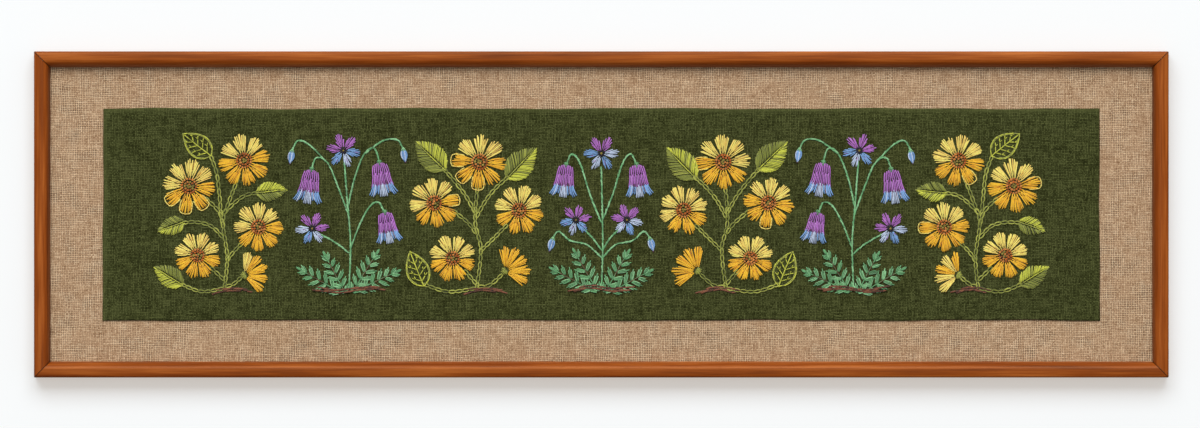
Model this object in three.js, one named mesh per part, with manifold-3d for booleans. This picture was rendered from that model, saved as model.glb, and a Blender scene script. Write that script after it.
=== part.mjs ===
// A framed embroidery: a long, slim wooden frame round a stitched linen panel, hung on a wall.
// Millimetres, +Z up and +X right. The front faces -Y and the back lies in the plane Y = 0.
// The origin is on the back of the top rail, at its middle, where a hanger would be fixed.

import * as THREE from 'three';
import { mergeVertices } from 'three/addons/utils/BufferGeometryUtils.js';
import Module from 'manifold-3d';

const wasm = await Module();
wasm.setup();

// The whole frame
const FRAME_WIDTH = 800;
const FRAME_HEIGHT = 230;
const FRAME_DEPTH = 16;
const PIECE_GAP = 0.3;
const SAME_POINT = 1e-4;

// The rails' section
const RAIL_FACE = 11.2;
const REBATE_WIDTH = 5.5;
const LIP_THICKNESS = 8.3;
const OUTER_WALL = RAIL_FACE - REBATE_WIDTH;
const ARRIS = { radius: 1.8, drop: 0.38, tilt: 0.19 };
const FACE_BEND = { run: 3.5, drop: 0.02 };
const BEVEL_WIDTH = 5.1;
const BEVEL_DROP = 6.2;
const BEVEL_BEND = { run: 3.7, drop: 0.55 };
const SIGHT_EDGE = { width: 0.3, drop: 0.4 };
const MITRE_SET_BACK = PIECE_GAP / Math.SQRT2;
const ROUND_STEPS = 5;

// The layers behind the lip, each front measured from the plane of the back
const LINEN_THICKNESS = 1.2;
const BOARD_THICKNESS = 4;
const SHEET_CLEARANCE = 0.5;
const LINEN_FRONT = LIP_THICKNESS - FRAME_DEPTH + PIECE_GAP;
const BOARD_FRONT = LINEN_FRONT + LINEN_THICKNESS + PIECE_GAP;
const SHEET_WIDTH = FRAME_WIDTH - 2 * (OUTER_WALL + SHEET_CLEARANCE);
const SHEET_HEIGHT = FRAME_HEIGHT - 2 * (OUTER_WALL + SHEET_CLEARANCE);

// The green panel, whose edge is as uneven as a folded linen edge
const PANEL_WIDTH = 703.4;
const PANEL_HEIGHT = 149.5;
const PANEL_BACK = LINEN_FRONT - PIECE_GAP;
const PANEL_FRONT = PANEL_BACK - LINEN_THICKNESS;
const EDGE_STEP = 30;
const EDGE_WAVES = [
  { length: 171, height: 0.3, shift: 0.4 },
  { length: 63, height: 0.2, shift: 2.1 },
];

// Raised stitching: how high it stands at each share of the way from its middle to its rim
const STITCH_BACK = PANEL_FRONT - PIECE_GAP;
const FLOWER_RELIEF = [
  { share: 1, height: 0.35 },
  { share: 0.76, height: 0.95 },
  { share: 0.3, height: 0.85 },
  { share: 0, height: 1.6 },
];
const BELL_RELIEF = [
  { share: 1, height: 0.35 },
  { share: 0.7, height: 0.95 },
  { share: 0, height: 1.2 },
];
const LEAF_RELIEF = [
  { share: 1, height: 0.35 },
  { share: 0.5, height: 0.9 },
  { share: 0, height: 0.8 },
];
const BUD_RELIEF = [
  { share: 1, height: 0.35 },
  { share: 0, height: 0.9 },
];
const STEM_RELIEF = [
  { share: 1, height: 0.7 },
  { share: 0, height: 0.7 },
];
const FERN_RELIEF = [
  { share: 1, height: 0.8 },
  { share: 0, height: 0.8 },
];
// The room that the foliage leaves round each flower
const FLOWER_ROOM = { gap: 0.45, below: 1, height: 3 };

// Flower shapes
const DAISY = { petals: 8, notch: 0.3, power: 0.6, stepsPerPetal: 4 };
const STAR = { petals: 6, notch: 0.55, power: 1.3, stepsPerPetal: 4 };
const HALF_DAISY = { petals: 5, spread: 150, notch: 0.3, power: 0.6, stepsPerPetal: 4 };
const CALYX = { radius: 3.2, steps: 5 };
const BELL_WIDTH_SHARE = 0.86;
// Half of a bell's outline: across in half widths, along in heights from the stalk
const BELL_HALF = [
  { across: 0.2, along: 0 },
  { across: 0.48, along: 0.12 },
  { across: 0.56, along: 0.34 },
  { across: 0.6, along: 0.55 },
  { across: 0.76, along: 0.74 },
  { across: 1, along: 0.9 },
  { across: 0.72, along: 0.98 },
  { across: 0.42, along: 0.86 },
  { across: 0.24, along: 1 },
];
// Half widths along a leaf, a bud and a fern are powers of a sine, which starts and ends as given
const LEAF = { steps: 7, start: 0, end: 1, lean: 0.8, fullness: 0.85 };
const BUD = { steps: 5, start: 0.08, end: 1, lean: 1, fullness: 0.8, halfWidth: 2.6 };
const FERN = { leaflets: 6, start: 0.12, end: 0.98, lean: 1, fullness: 0.7, cut: 0.62 };
const GROUND_HALF_WIDTH = 1.3;
const STEM_STEP = 10;
const FEWEST_STEM_STEPS = 2;
// How far a strip's ends run past its curve, in its half widths there
const STRIP_END = 0.5;

const WOOD = { color: 0x964d24, roughness: 0.45 };
const BOARD = { color: 0xa98c66, roughness: 0.85 };
const NATURAL_LINEN = { color: 0xb09173, roughness: 0.95 };
const GREEN_LINEN = { color: 0x404323, roughness: 0.95 };
const YELLOW_THREAD = { color: 0xf0ae38, roughness: 0.7 };
const VIOLET_THREAD = { color: 0x8f5cc0, roughness: 0.7 };
const BLUE_THREAD = { color: 0x6f9cdc, roughness: 0.7 };
const LEAF_THREAD = { color: 0x8ba035, roughness: 0.7 };
const FERN_THREAD = { color: 0x4aa676, roughness: 0.7 };

// The kinds of plant, by the half width of their stems and the thread of their foliage
const KINDS = {
  middle: { stemHalfWidth: 0.8, look: FERN_THREAD },
  bell: { stemHalfWidth: 0.8, look: FERN_THREAD },
  inner: { stemHalfWidth: 1.2, look: LEAF_THREAD },
  outer: { stemHalfWidth: 1.2, look: LEAF_THREAD },
};

// Plants stand in mirrored pairs round the middle one. The tables below give one plant of each
// kind: x from its foot towards the panel's end, and z from the panel's middle.
const PLANTS = [
  { name: 'middle', kind: 'middle', x: 0, way: 1 },
  { name: 'inner_left', kind: 'inner', x: -88, way: -1 },
  { name: 'inner_right', kind: 'inner', x: 88, way: 1 },
  { name: 'bell_left', kind: 'bell', x: -178, way: -1 },
  { name: 'bell_right', kind: 'bell', x: 178, way: 1 },
  { name: 'outer_left', kind: 'outer', x: -266, way: -1 },
  { name: 'outer_right', kind: 'outer', x: 266, way: 1 },
];

const DAISIES = [
  { kind: 'inner', x: -2, z: 37, radius: 20.5, turn: 4 },
  { kind: 'inner', x: -30, z: 3, radius: 18.5, turn: 16 },
  { kind: 'inner', x: 30, z: 8, radius: 19, turn: -8 },
  { kind: 'inner', x: 17, z: -31, radius: 17.5, turn: 20 },
  { kind: 'outer', x: -14, z: 38, radius: 19.5, turn: -12 },
  { kind: 'outer', x: 25, z: 20, radius: 20, turn: 8 },
  { kind: 'outer', x: -24, z: -9, radius: 18.5, turn: 2 },
  { kind: 'outer', x: 19, z: -29, radius: 17.5, turn: 18 },
];

const HALF_DAISIES = [
  { kind: 'inner', x: -20, z: -40, reach: 19, aim: 148 },
  { kind: 'outer', x: -14, z: -43, reach: 18, aim: 160 },
];

const STARS = [
  { kind: 'middle', x: 0, z: 43, radius: 13.5, turn: 0 },
  { kind: 'middle', x: -18, z: -4, radius: 12, turn: 12 },
  { kind: 'middle', x: 18, z: -4, radius: 12, turn: -12 },
  { kind: 'bell', x: 4, z: 45, radius: 13, turn: 10 },
  { kind: 'bell', x: 26, z: -10, radius: 12.5, turn: -6 },
];

const BELLS = [
  { kind: 'middle', x: -26, z: 24, tall: 25, aim: -96 },
  { kind: 'middle', x: 26, z: 24, tall: 25, aim: -84 },
  { kind: 'bell', x: -23, z: 25, tall: 26, aim: -98 },
  { kind: 'bell', x: 28, z: 20, tall: 26, aim: -82 },
  { kind: 'bell', x: -27, z: -9, tall: 24, aim: -100 },
];

const BUDS = [
  { kind: 'middle', x: -34, z: -16, length: 11, aim: -105 },
  { kind: 'middle', x: 34, z: -16, length: 11, aim: -75 },
  { kind: 'bell', x: -38, z: 47, length: 11, aim: -100 },
  { kind: 'bell', x: 40, z: 46, length: 11, aim: -80 },
];

const LEAVES = [
  { kind: 'inner', x: -21, z: 25, length: 31, halfWidth: 10, aim: 134 },
  { kind: 'inner', x: 22, z: 31, length: 30, halfWidth: 10, aim: 44 },
  { kind: 'inner', x: 37, z: -51, length: 27, halfWidth: 8.5, aim: 68 },
  { kind: 'outer', x: -22, z: 15, length: 23, halfWidth: 7.4, aim: 174 },
  { kind: 'outer', x: 28, z: -5, length: 21, halfWidth: 7, aim: -20 },
  { kind: 'outer', x: 9, z: 41, length: 26, halfWidth: 8.5, aim: 38 },
  { kind: 'outer', x: 29, z: -50, length: 25, halfWidth: 8, aim: 32 },
];

const FERNS = [
  { kind: 'middle', x: -10, z: -51.6, length: 31, halfWidth: 7.5, aim: 152 },
  { kind: 'middle', x: 10, z: -53, length: 31, halfWidth: 7.5, aim: 28 },
  { kind: 'middle', x: -4, z: -52, length: 33, halfWidth: 7.5, aim: 120 },
  { kind: 'middle', x: 4, z: -52.6, length: 33, halfWidth: 7.5, aim: 60 },
  { kind: 'bell', x: -9, z: -52, length: 31, halfWidth: 7.5, aim: 155 },
  { kind: 'bell', x: 9, z: -53.5, length: 33, halfWidth: 7.5, aim: 30 },
  { kind: 'bell', x: -4, z: -52.4, length: 33, halfWidth: 7.5, aim: 122 },
  { kind: 'bell', x: 4, z: -53, length: 31, halfWidth: 7, aim: 62 },
];

// Each stem runs smoothly through its x, z points. One that ends in a flower is cut at its rim.
const STEMS = [
  { kind: 'middle', through: [[0, -53], [1, -20], [0, 34]] },
  { kind: 'middle', through: [[0, -6], [-8, 14], [-15, 36], [-21, 42.5], [-25, 34]] },
  { kind: 'middle', through: [[0, -6], [8, 14], [15, 36], [21, 42.5], [25, 34]] },
  { kind: 'middle', through: [[0.5, -26], [-6, -17], [-14, -9]] },
  { kind: 'middle', through: [[0.5, -26], [6, -17], [14, -9]] },
  { kind: 'middle', through: [[0.5, -31], [-10, -21.5], [-22, -18.5], [-30, -12], [-34.2, -17]] },
  { kind: 'middle', through: [[0.5, -31], [10, -21.5], [22, -18.5], [30, -12], [34.2, -17]] },
  { kind: 'bell', through: [[0, -53], [-1, -20], [1, 6], [3.4, 38]] },
  { kind: 'bell', through: [[1, 4], [-4, 26], [-11, 43], [-18, 46.5], [-21.5, 36]] },
  { kind: 'bell', through: [[0.5, 0], [8, 20], [15, 36], [23, 40], [27, 30]] },
  { kind: 'bell', through: [[-1, -24], [-8, -6], [-15, 6], [-21, 8.5], [-25, 1]] },
  { kind: 'bell', through: [[-0.5, -28], [8, -21], [20, -14]] },
  { kind: 'bell', through: [[-11.5, 43], [-24, 52], [-34, 52.5], [-38.2, 46]] },
  { kind: 'bell', through: [[15.5, 36.5], [28, 49], [36, 52], [40.2, 45]] },
  { kind: 'inner', through: [[0, -53], [-3, -25], [1, -5], [-1, 24]] },
  { kind: 'inner', through: [[-2.5, -26], [-10, -19], [-22, -7]] },
  { kind: 'inner', through: [[0, -14], [6, -6], [17, 3]] },
  { kind: 'inner', through: [[-0.5, -50], [9, -39]] },
  { kind: 'inner', through: [[0, -51], [-9, -50], [-18.5, -42]] },
  { kind: 'inner', through: [[0.5, -3], [-6, 9], [-13.6, 18.6], [-23, 27]] },
  { kind: 'inner', through: [[0.5, 0], [7, 12], [14.5, 22], [24, 33]] },
  { kind: 'inner', through: [[0, -52], [20, -54.6], [38, -49]] },
  { kind: 'outer', through: [[0, -53], [-2, -30], [1, -6], [-3, 8], [-10, 26]] },
  { kind: 'outer', through: [[1, -8], [4, 2], [14, 12]] },
  { kind: 'outer', through: [[-1.5, -34], [-6, -27], [-16, -17]] },
  { kind: 'outer', through: [[-0.5, -47], [10, -37]] },
  { kind: 'outer', through: [[0, -51], [-6, -49.5], [-12.5, -44]] },
  { kind: 'outer', through: [[1, 0], [-7, 8], [-15, 13.5], [-24, 15]] },
  { kind: 'outer', through: [[0.5, -17], [9, -8.5], [19, -5.6], [30, -6]] },
  { kind: 'outer', through: [[2.2, -2], [3.6, 15], [5.4, 29], [10, 42]] },
  { kind: 'outer', through: [[0, -52], [16, -54.5], [31, -49]] },
];

// The brown ground line under each plant
const GROUNDS = [
  { kind: 'middle', through: [[-24, -54], [-8, -51.5], [8, -53.5], [24, -52]] },
  { kind: 'bell', through: [[-26, -53], [-9, -52], [8, -54], [26, -52]] },
  { kind: 'inner', through: [[-22, -55.5], [-6, -52.5], [10, -55]] },
  { kind: 'outer', through: [[-20, -55], [-5, -52.5], [9, -55]] },
];

const degrees = THREE.MathUtils.degToRad;
const origin2 = new THREE.Vector2();

// A named mesh with its own material
function piece(name, geometry, look) {
  const made = new THREE.Mesh(geometry, new THREE.MeshStandardMaterial({ ...look, metalness: 0 }));
  made.name = name;
  return made;
}

// Merges the vertices of a triangle list and drops the triangles that close up on themselves
function closed(positions, triangles) {
  const loose = new THREE.BufferGeometry();
  loose.setAttribute('position', new THREE.Float32BufferAttribute(positions, 3));
  loose.setIndex(triangles);
  const merged = mergeVertices(loose, SAME_POINT);
  const kept = [];
  const index = merged.getIndex().array;
  for (let i = 0; i < index.length; i += 3) {
    const [a, b, c] = index.slice(i, i + 3);
    if (a !== b && b !== c && c !== a) kept.push(a, b, c);
  }
  merged.setIndex(kept);
  return merged;
}

// The moulding's section: x runs in from the outer edge and y from the back towards the front.
// Its face is a low crown from a round outer arris, and it rolls down to the sight edge.
function railSection() {
  const front = -FRAME_DEPTH;
  const bevelStart = RAIL_FACE - BEVEL_WIDTH;
  const section = new THREE.Shape();
  section.moveTo(0, 0);
  const arrisMiddle = front + ARRIS.drop + ARRIS.radius;
  section.lineTo(0, arrisMiddle);
  section.absarc(ARRIS.radius, arrisMiddle, ARRIS.radius, Math.PI, 1.5 * Math.PI - ARRIS.tilt, false);
  section.quadraticCurveTo(FACE_BEND.run, front + FACE_BEND.drop, bevelStart, front);
  section.quadraticCurveTo(
    bevelStart + BEVEL_BEND.run, front + BEVEL_BEND.drop,
    RAIL_FACE - SIGHT_EDGE.width, front + BEVEL_DROP - SIGHT_EDGE.drop,
  );
  section.lineTo(RAIL_FACE, front + BEVEL_DROP);
  section.lineTo(RAIL_FACE, front + LIP_THICKNESS);
  section.lineTo(OUTER_WALL, front + LIP_THICKNESS);
  section.lineTo(OUTER_WALL, 0);
  section.closePath();
  return section;
}

// A rail of the given length along X, mitred at both ends, its outer edge at z = 0
function railGeometry(length) {
  const block = new THREE.ExtrudeGeometry(railSection(), {
    depth: 1,
    bevelEnabled: false,
    curveSegments: ROUND_STEPS,
  });
  const position = block.getAttribute('position');
  for (let i = 0; i < position.count; i += 1) {
    const inward = position.getX(i);
    const end = length / 2 - inward - MITRE_SET_BACK;
    const along = THREE.MathUtils.lerp(-end, end, position.getZ(i));
    position.setXYZ(i, along, position.getY(i), -inward);
  }
  return block;
}

function makeRails() {
  const table = [
    { name: 'rail_top', length: FRAME_WIDTH, across: FRAME_HEIGHT },
    { name: 'rail_right', length: FRAME_HEIGHT, across: FRAME_WIDTH },
    { name: 'rail_bottom', length: FRAME_WIDTH, across: FRAME_HEIGHT },
    { name: 'rail_left', length: FRAME_HEIGHT, across: FRAME_WIDTH },
  ];
  const rails = new THREE.Group();
  table.forEach(({ name, length, across }, quarter) => {
    const side = new THREE.Group();
    const rail = piece(name, railGeometry(length), WOOD);
    rail.position.z = across / 2;
    side.rotation.y = quarter * Math.PI / 2;
    side.add(rail);
    rails.add(side);
  });
  return rails;
}

function makeSheet(name, thickness, front, look) {
  const sheet = piece(name, new THREE.BoxGeometry(SHEET_WIDTH, thickness, SHEET_HEIGHT), look);
  sheet.position.y = front + thickness / 2;
  return sheet;
}

// How far the green panel's edge strays at a distance along it
function edgeStray(along, shift) {
  return EDGE_WAVES.reduce(
    (sum, wave) => sum + wave.height * Math.sin(2 * Math.PI * along / wave.length + wave.shift + shift),
    0,
  );
}

function makeGreenPanel() {
  const corners = [[-1, -1], [1, -1], [1, 1], [-1, 1]].map(
    ([x, z]) => new THREE.Vector2(x * PANEL_WIDTH / 2, z * PANEL_HEIGHT / 2),
  );
  const outline = [];
  corners.forEach((corner, side) => {
    const next = corners[(side + 1) % corners.length];
    const length = corner.distanceTo(next);
    const steps = Math.round(length / EDGE_STEP);
    const outward = next.clone().sub(corner).normalize().rotateAround(origin2, -Math.PI / 2);
    for (let step = 0; step < steps; step += 1) {
      const onEdge = corner.clone().lerp(next, step / steps);
      outline.push(onEdge.addScaledVector(outward, edgeStray(length * step / steps, side)));
    }
  });
  const cloth = new THREE.ExtrudeGeometry(new THREE.Shape(outline), {
    depth: LINEN_THICKNESS,
    bevelEnabled: false,
  });
  cloth.rotateX(Math.PI / 2);
  const panel = piece('green_linen', cloth, GREEN_LINEN);
  panel.position.y = PANEL_BACK;
  return panel;
}

// A low raised solid on the plane y = 0. Each rim point has a foot, the inner point that the
// surface climbs to, and a crown from 0 to 1 that says how fully it climbs there.
function raised({ rim, feet, crowns }, relief) {
  const clockwise = THREE.ShapeUtils.area(rim) < 0;
  const order = rim.map((point, i) => (clockwise ? rim.length - 1 - i : i));
  const edge = relief[0].height;
  const loops = [
    { share: 0, height: 0, flat: true },
    { share: 1, height: 0, flat: true },
    ...relief,
  ];
  const positions = [];
  for (const { share, height, flat } of loops) {
    for (const i of order) {
      const at = feet[i].clone().lerp(rim[i], share);
      const lift = flat ? height : edge + (height - edge) * crowns[i];
      positions.push(at.x, -lift, at.y);
    }
  }
  const count = rim.length;
  const triangles = [];
  for (let loop = 0; loop + 1 < loops.length; loop += 1) {
    for (let i = 0; i < count; i += 1) {
      const a = loop * count + i;
      const b = loop * count + (i + 1) % count;
      triangles.push(a, b, b + count, a, b + count, a + count);
    }
  }
  return closed(positions, triangles);
}

// A shape round one middle point, from its radius at each angle
function rosette(middle, angles, radiusAt) {
  const rim = angles.map((angle) => {
    const radius = radiusAt(angle);
    return new THREE.Vector2(middle.x + radius * Math.cos(angle), middle.y + radius * Math.sin(angle));
  });
  return { rim, feet: rim.map(() => middle), crowns: rim.map(() => 1) };
}

// A shape along a curve, from its half width at each share of the curve's length
function strip(curve, count, halfWidthAt) {
  const left = [];
  const right = [];
  const shares = Array.from({ length: count + 1 }, (unused, i) => i / count);
  const widest = Math.max(...shares.map(halfWidthAt));
  for (const share of shares) {
    const foot = curve.getPointAt(share);
    const onward = curve.getTangentAt(share);
    const across = onward.clone().rotateAround(origin2, Math.PI / 2);
    const halfWidth = halfWidthAt(share);
    const crown = Math.sqrt(halfWidth / widest);
    const past = STRIP_END * halfWidth * ((share === 1) - (share === 0));
    const end = foot.clone().addScaledVector(onward, past);
    left.push({ foot, crown, edge: end.clone().addScaledVector(across, halfWidth) });
    right.unshift({ foot, crown, edge: end.clone().addScaledVector(across, -halfWidth) });
  }
  const round = [...left, ...right];
  return {
    rim: round.map((point) => point.edge),
    feet: round.map((point) => point.foot),
    crowns: round.map((point) => point.crown),
  };
}

function turned(shape, middle, turn) {
  return { ...shape, rim: shape.rim.map((point) => point.rotateAround(middle, degrees(turn))) };
}

function spread(count, from, to) {
  return Array.from({ length: count }, (unused, i) => from + (to - from) * i / count);
}

// The radius of a flower with equal petals: full at each petal's tip and less between petals
function petalRadius(full, notch, power, phase) {
  return full * (1 - notch * (1 - Math.abs(Math.cos(phase)) ** power));
}

function flowerShape({ at, radius, turn }, { petals, notch, power, stepsPerPetal }) {
  const angles = spread(petals * stepsPerPetal, 0, 2 * Math.PI);
  const radiusAt = (angle) => petalRadius(radius, notch, power, angle * petals / 2);
  return turned(rosette(at, angles, radiusAt), at, turn);
}

function halfDaisyShape({ at, reach, aim }) {
  const half = degrees(HALF_DAISY.spread / 2);
  const front = spread(HALF_DAISY.petals * HALF_DAISY.stepsPerPetal, -half, half).concat(half);
  const behind = spread(CALYX.steps, half, 2 * Math.PI - half).slice(1);
  const radiusAt = (angle) => {
    if (angle > half) return CALYX.radius;
    const phase = (angle + half) / (2 * half) * HALF_DAISY.petals * Math.PI + Math.PI / 2;
    return petalRadius(reach, HALF_DAISY.notch, HALF_DAISY.power, phase);
  };
  return turned(rosette(at, [...front, ...behind], radiusAt), at, aim);
}

function bellShape({ at, tall, aim }) {
  const halfWidth = tall * BELL_WIDTH_SHARE / 2;
  const right = BELL_HALF.map(({ across, along }) => (
    new THREE.Vector2((along - 0.5) * tall, across * halfWidth)
  ));
  const left = right.map((point) => new THREE.Vector2(point.x, -point.y)).reverse();
  const rim = [...right, ...left].map((point) => point.add(at));
  return turned({ rim, feet: rim.map(() => at), crowns: rim.map(() => 1) }, at, aim);
}

function straightCurve({ at, length, aim }) {
  const tip = new THREE.Vector2(length, 0).rotateAround(origin2, degrees(aim)).add(at);
  return new THREE.LineCurve(at, tip);
}

// The share of the full half width at a share of the length
function fullness(share, form) {
  const angle = Math.PI * THREE.MathUtils.lerp(form.start, form.end, share ** form.lean);
  return Math.sin(angle) ** form.fullness;
}

function budShape(row) {
  return strip(straightCurve(row), BUD.steps, (share) => BUD.halfWidth * fullness(share, BUD));
}

function leafShape(row) {
  return strip(straightCurve(row), LEAF.steps, (share) => row.halfWidth * fullness(share, LEAF));
}

// A fern is full at each leaflet's tip, cut in between leaflets, and pointed at its end
function fernShape(row) {
  const count = 2 * FERN.leaflets;
  const widthAt = (share) => {
    const atTip = Math.round(share * count) % 2 === 1;
    const full = share === 1 ? 0 : row.halfWidth * fullness(share, FERN);
    return atTip ? full : full * (1 - FERN.cut);
  };
  return strip(straightCurve(row), count, widthAt);
}

function stemShape({ points }, halfWidth) {
  const curve = new THREE.SplineCurve(points);
  const count = Math.max(FEWEST_STEM_STEPS, Math.round(curve.getLength() / STEM_STEP));
  return strip(curve, count, () => halfWidth);
}

// The same shape with its rim moved outwards
function grown(shape, gap) {
  const way = THREE.ShapeUtils.area(shape.rim) < 0 ? 1 : -1;
  const count = shape.rim.length;
  const rim = shape.rim.map((point, i) => {
    const before = shape.rim[(i + count - 1) % count];
    const after = shape.rim[(i + 1) % count];
    const outward = after.clone().sub(before).normalize().rotateAround(origin2, way * Math.PI / 2);
    return point.clone().addScaledVector(outward, gap);
  });
  return { ...shape, rim };
}

function solidOf(geometry) {
  return new wasm.Manifold(new wasm.Mesh({
    numProp: 3,
    vertProperties: new Float32Array(geometry.getAttribute('position').array),
    triVerts: new Uint32Array(geometry.getIndex().array),
  }));
}

// The room round a flower, which reaches below and above the foliage
function roomFor(shape) {
  const top = { share: 1, height: FLOWER_ROOM.height + FLOWER_ROOM.below };
  const room = raised(grown(shape, FLOWER_ROOM.gap), [top, { ...top, share: 0 }]);
  return solidOf(room.translate(0, FLOWER_ROOM.below, 0));
}

// All the foliage of a plant as one solid, cut back from its flowers
function foliageGeometry(geometries, flowerShapes) {
  const whole = geometries.map(solidOf).reduce((sum, next) => sum.add(next));
  const cut = flowerShapes.map(roomFor).reduce((rest, room) => rest.subtract(room), whole);
  const mesh = cut.getMesh();
  const geometry = new THREE.BufferGeometry();
  geometry.setAttribute('position', new THREE.Float32BufferAttribute(mesh.vertProperties, 3));
  geometry.setIndex(Array.from(mesh.triVerts));
  return geometry;
}

function onPanel(x, z, plant) {
  return new THREE.Vector2(plant.x + plant.way * x, z);
}

// The rows of a table that belong to a plant, with their places and angles set on the panel
function rowsOf(table, plant) {
  const angle = (given) => (plant.way > 0 ? given : 180 - given);
  return table.filter((row) => row.kind === plant.kind).map((row) => ({
    ...row,
    at: onPanel(row.x, row.z, plant),
    aim: angle(row.aim),
    turn: angle(row.turn),
    points: row.through?.map(([x, z]) => onPanel(x, z, plant)),
  }));
}

const FLOWERS = [
  {
    name: 'daisy',
    table: DAISIES,
    shape: (row) => flowerShape(row, DAISY),
    relief: FLOWER_RELIEF,
    look: YELLOW_THREAD,
  },
  {
    name: 'half_daisy',
    table: HALF_DAISIES,
    shape: halfDaisyShape,
    relief: BELL_RELIEF,
    look: YELLOW_THREAD,
  },
  {
    name: 'star',
    table: STARS,
    shape: (row) => flowerShape(row, STAR),
    relief: FLOWER_RELIEF,
    look: VIOLET_THREAD,
  },
  {
    name: 'bell',
    table: BELLS,
    shape: bellShape,
    relief: BELL_RELIEF,
    look: VIOLET_THREAD,
  },
  {
    name: 'bud',
    table: BUDS,
    shape: budShape,
    relief: BUD_RELIEF,
    look: BLUE_THREAD,
  },
];

function makePlant(plant) {
  const group = new THREE.Group();
  const flowerShapes = [];
  for (const { name, table, shape, relief, look } of FLOWERS) {
    rowsOf(table, plant).forEach((row, i) => {
      flowerShapes.push(shape(row));
      group.add(piece(`${plant.name}_${name}_${i + 1}`, raised(shape(row), relief), look));
    });
  }
  const { stemHalfWidth, look } = KINDS[plant.kind];
  const foliage = [
    ...rowsOf(STEMS, plant).map((row) => raised(stemShape(row, stemHalfWidth), STEM_RELIEF)),
    ...rowsOf(GROUNDS, plant).map((row) => raised(stemShape(row, GROUND_HALF_WIDTH), STEM_RELIEF)),
    ...rowsOf(LEAVES, plant).map((row) => raised(leafShape(row), LEAF_RELIEF)),
    ...rowsOf(FERNS, plant).map((row) => raised(fernShape(row), FERN_RELIEF)),
  ];
  group.add(piece(`${plant.name}_foliage`, foliageGeometry(foliage, flowerShapes), look));
  return group;
}

function makeEmbroidery() {
  const embroidery = new THREE.Group();
  embroidery.position.y = STITCH_BACK;
  embroidery.add(...PLANTS.map(makePlant));
  return embroidery;
}

const group = new THREE.Group();
const picture = new THREE.Group();
picture.position.z = (OUTER_WALL - FRAME_HEIGHT) / 2;
picture.add(
  makeRails(),
  makeSheet('backing_board', BOARD_THICKNESS, BOARD_FRONT, BOARD),
  makeSheet('linen_ground', LINEN_THICKNESS, LINEN_FRONT, NATURAL_LINEN),
  makeGreenPanel(),
  makeEmbroidery(),
);
group.add(picture);

export default group;
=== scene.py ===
"""A framed embroidery: flowers stitched on a dark green linen panel, in a slim wooden frame.

Everything is in metres, in the frame's own axes: +Z up, +X right, the front towards -Y.
The stitched design is laid out in millimetres from the middle of the green panel.
"""
import math
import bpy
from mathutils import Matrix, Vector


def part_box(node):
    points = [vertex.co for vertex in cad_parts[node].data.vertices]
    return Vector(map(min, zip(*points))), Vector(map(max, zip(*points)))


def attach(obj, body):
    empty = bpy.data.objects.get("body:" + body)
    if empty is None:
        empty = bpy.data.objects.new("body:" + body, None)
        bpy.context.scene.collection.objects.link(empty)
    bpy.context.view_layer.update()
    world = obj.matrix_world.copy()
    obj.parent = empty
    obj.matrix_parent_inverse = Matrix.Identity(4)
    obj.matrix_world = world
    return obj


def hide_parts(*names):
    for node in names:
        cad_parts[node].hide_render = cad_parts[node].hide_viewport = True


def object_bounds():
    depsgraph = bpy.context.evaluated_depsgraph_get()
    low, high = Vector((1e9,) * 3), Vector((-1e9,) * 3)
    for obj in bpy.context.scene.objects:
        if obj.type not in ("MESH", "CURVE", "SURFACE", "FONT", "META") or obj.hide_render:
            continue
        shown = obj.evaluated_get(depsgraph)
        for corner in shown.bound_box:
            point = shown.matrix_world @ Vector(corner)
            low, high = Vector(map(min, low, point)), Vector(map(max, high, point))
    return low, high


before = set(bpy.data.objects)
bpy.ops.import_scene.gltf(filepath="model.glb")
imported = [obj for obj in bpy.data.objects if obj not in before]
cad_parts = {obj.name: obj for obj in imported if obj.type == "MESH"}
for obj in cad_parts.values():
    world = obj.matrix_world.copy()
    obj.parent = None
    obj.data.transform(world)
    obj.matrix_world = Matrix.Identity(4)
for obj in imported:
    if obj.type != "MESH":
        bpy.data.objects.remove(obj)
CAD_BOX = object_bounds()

import zlib

import bpy
import numpy as np
from mathutils import Vector

MM = 0.001

# Sizes that come from the frame
BOARD_LOW, BOARD_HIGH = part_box("backing_board")
CENTRE = (BOARD_LOW + BOARD_HIGH) / 2
CLOTH_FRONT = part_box("green_linen")[0].y
FRAME_LOW, FRAME_HIGH = CAD_BOX
FRAME_SIZE = FRAME_HIGH - FRAME_LOW

# Each skein of thread: its colour as sRGB from 0 to 255
SKEINS = {
    "pale_yellow": (247, 207, 103),
    "straw": (206, 158, 64),
    "gold": (240, 172, 38),
    "deep_gold": (212, 130, 20),
    "rust": (180, 96, 30),
    "light_rust": (206, 132, 60),
    "olive_yellow": (148, 130, 52),
    "violet": (168, 104, 182),
    "light_violet": (178, 122, 192),
    "cornflower": (118, 157, 206),
    "pale_blue": (180, 194, 220),
    "plum": (106, 54, 84),
    "night": (38, 28, 54),
    "lime": (184, 188, 64),
    "leaf_green": (148, 152, 64),
    "olive": (118, 124, 50),
    "sea_green": (96, 152, 100),
    "light_sea_green": (124, 176, 124),
    "brown": (114, 68, 44),
    "dark_brown": (78, 46, 30),
}

THREAD_WIDTH = 1.06
THREAD_FLATNESS = 0.7

# Where a stitch's end rings lie: dives from its end, share of its lift, share of its width.
# The first is a depth in millimetres, under the cloth.
STITCH_END = (
    (0.0, -0.5, 0.5),
    (0.4, 0.36, 0.8),
    (1.0, 0.78, 0.96),
)
# The same shares halfway from a dive to the middle, and at the middle
QUARTER = (0.95, 1.0)
MIDDLE = (1.0, 1.04)
# How long a dive is, and the most of a short stitch that it takes
DIVE_RUN = 0.7
DIVE_SHARE = 0.3
# A knot's coil has as many rings as a stitch
RINGS = 2 * len(STITCH_END) + 3
STRAND_SIDES = 6
ROUND = 2 * math.pi * np.arange(STRAND_SIDES) / STRAND_SIDES

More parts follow.
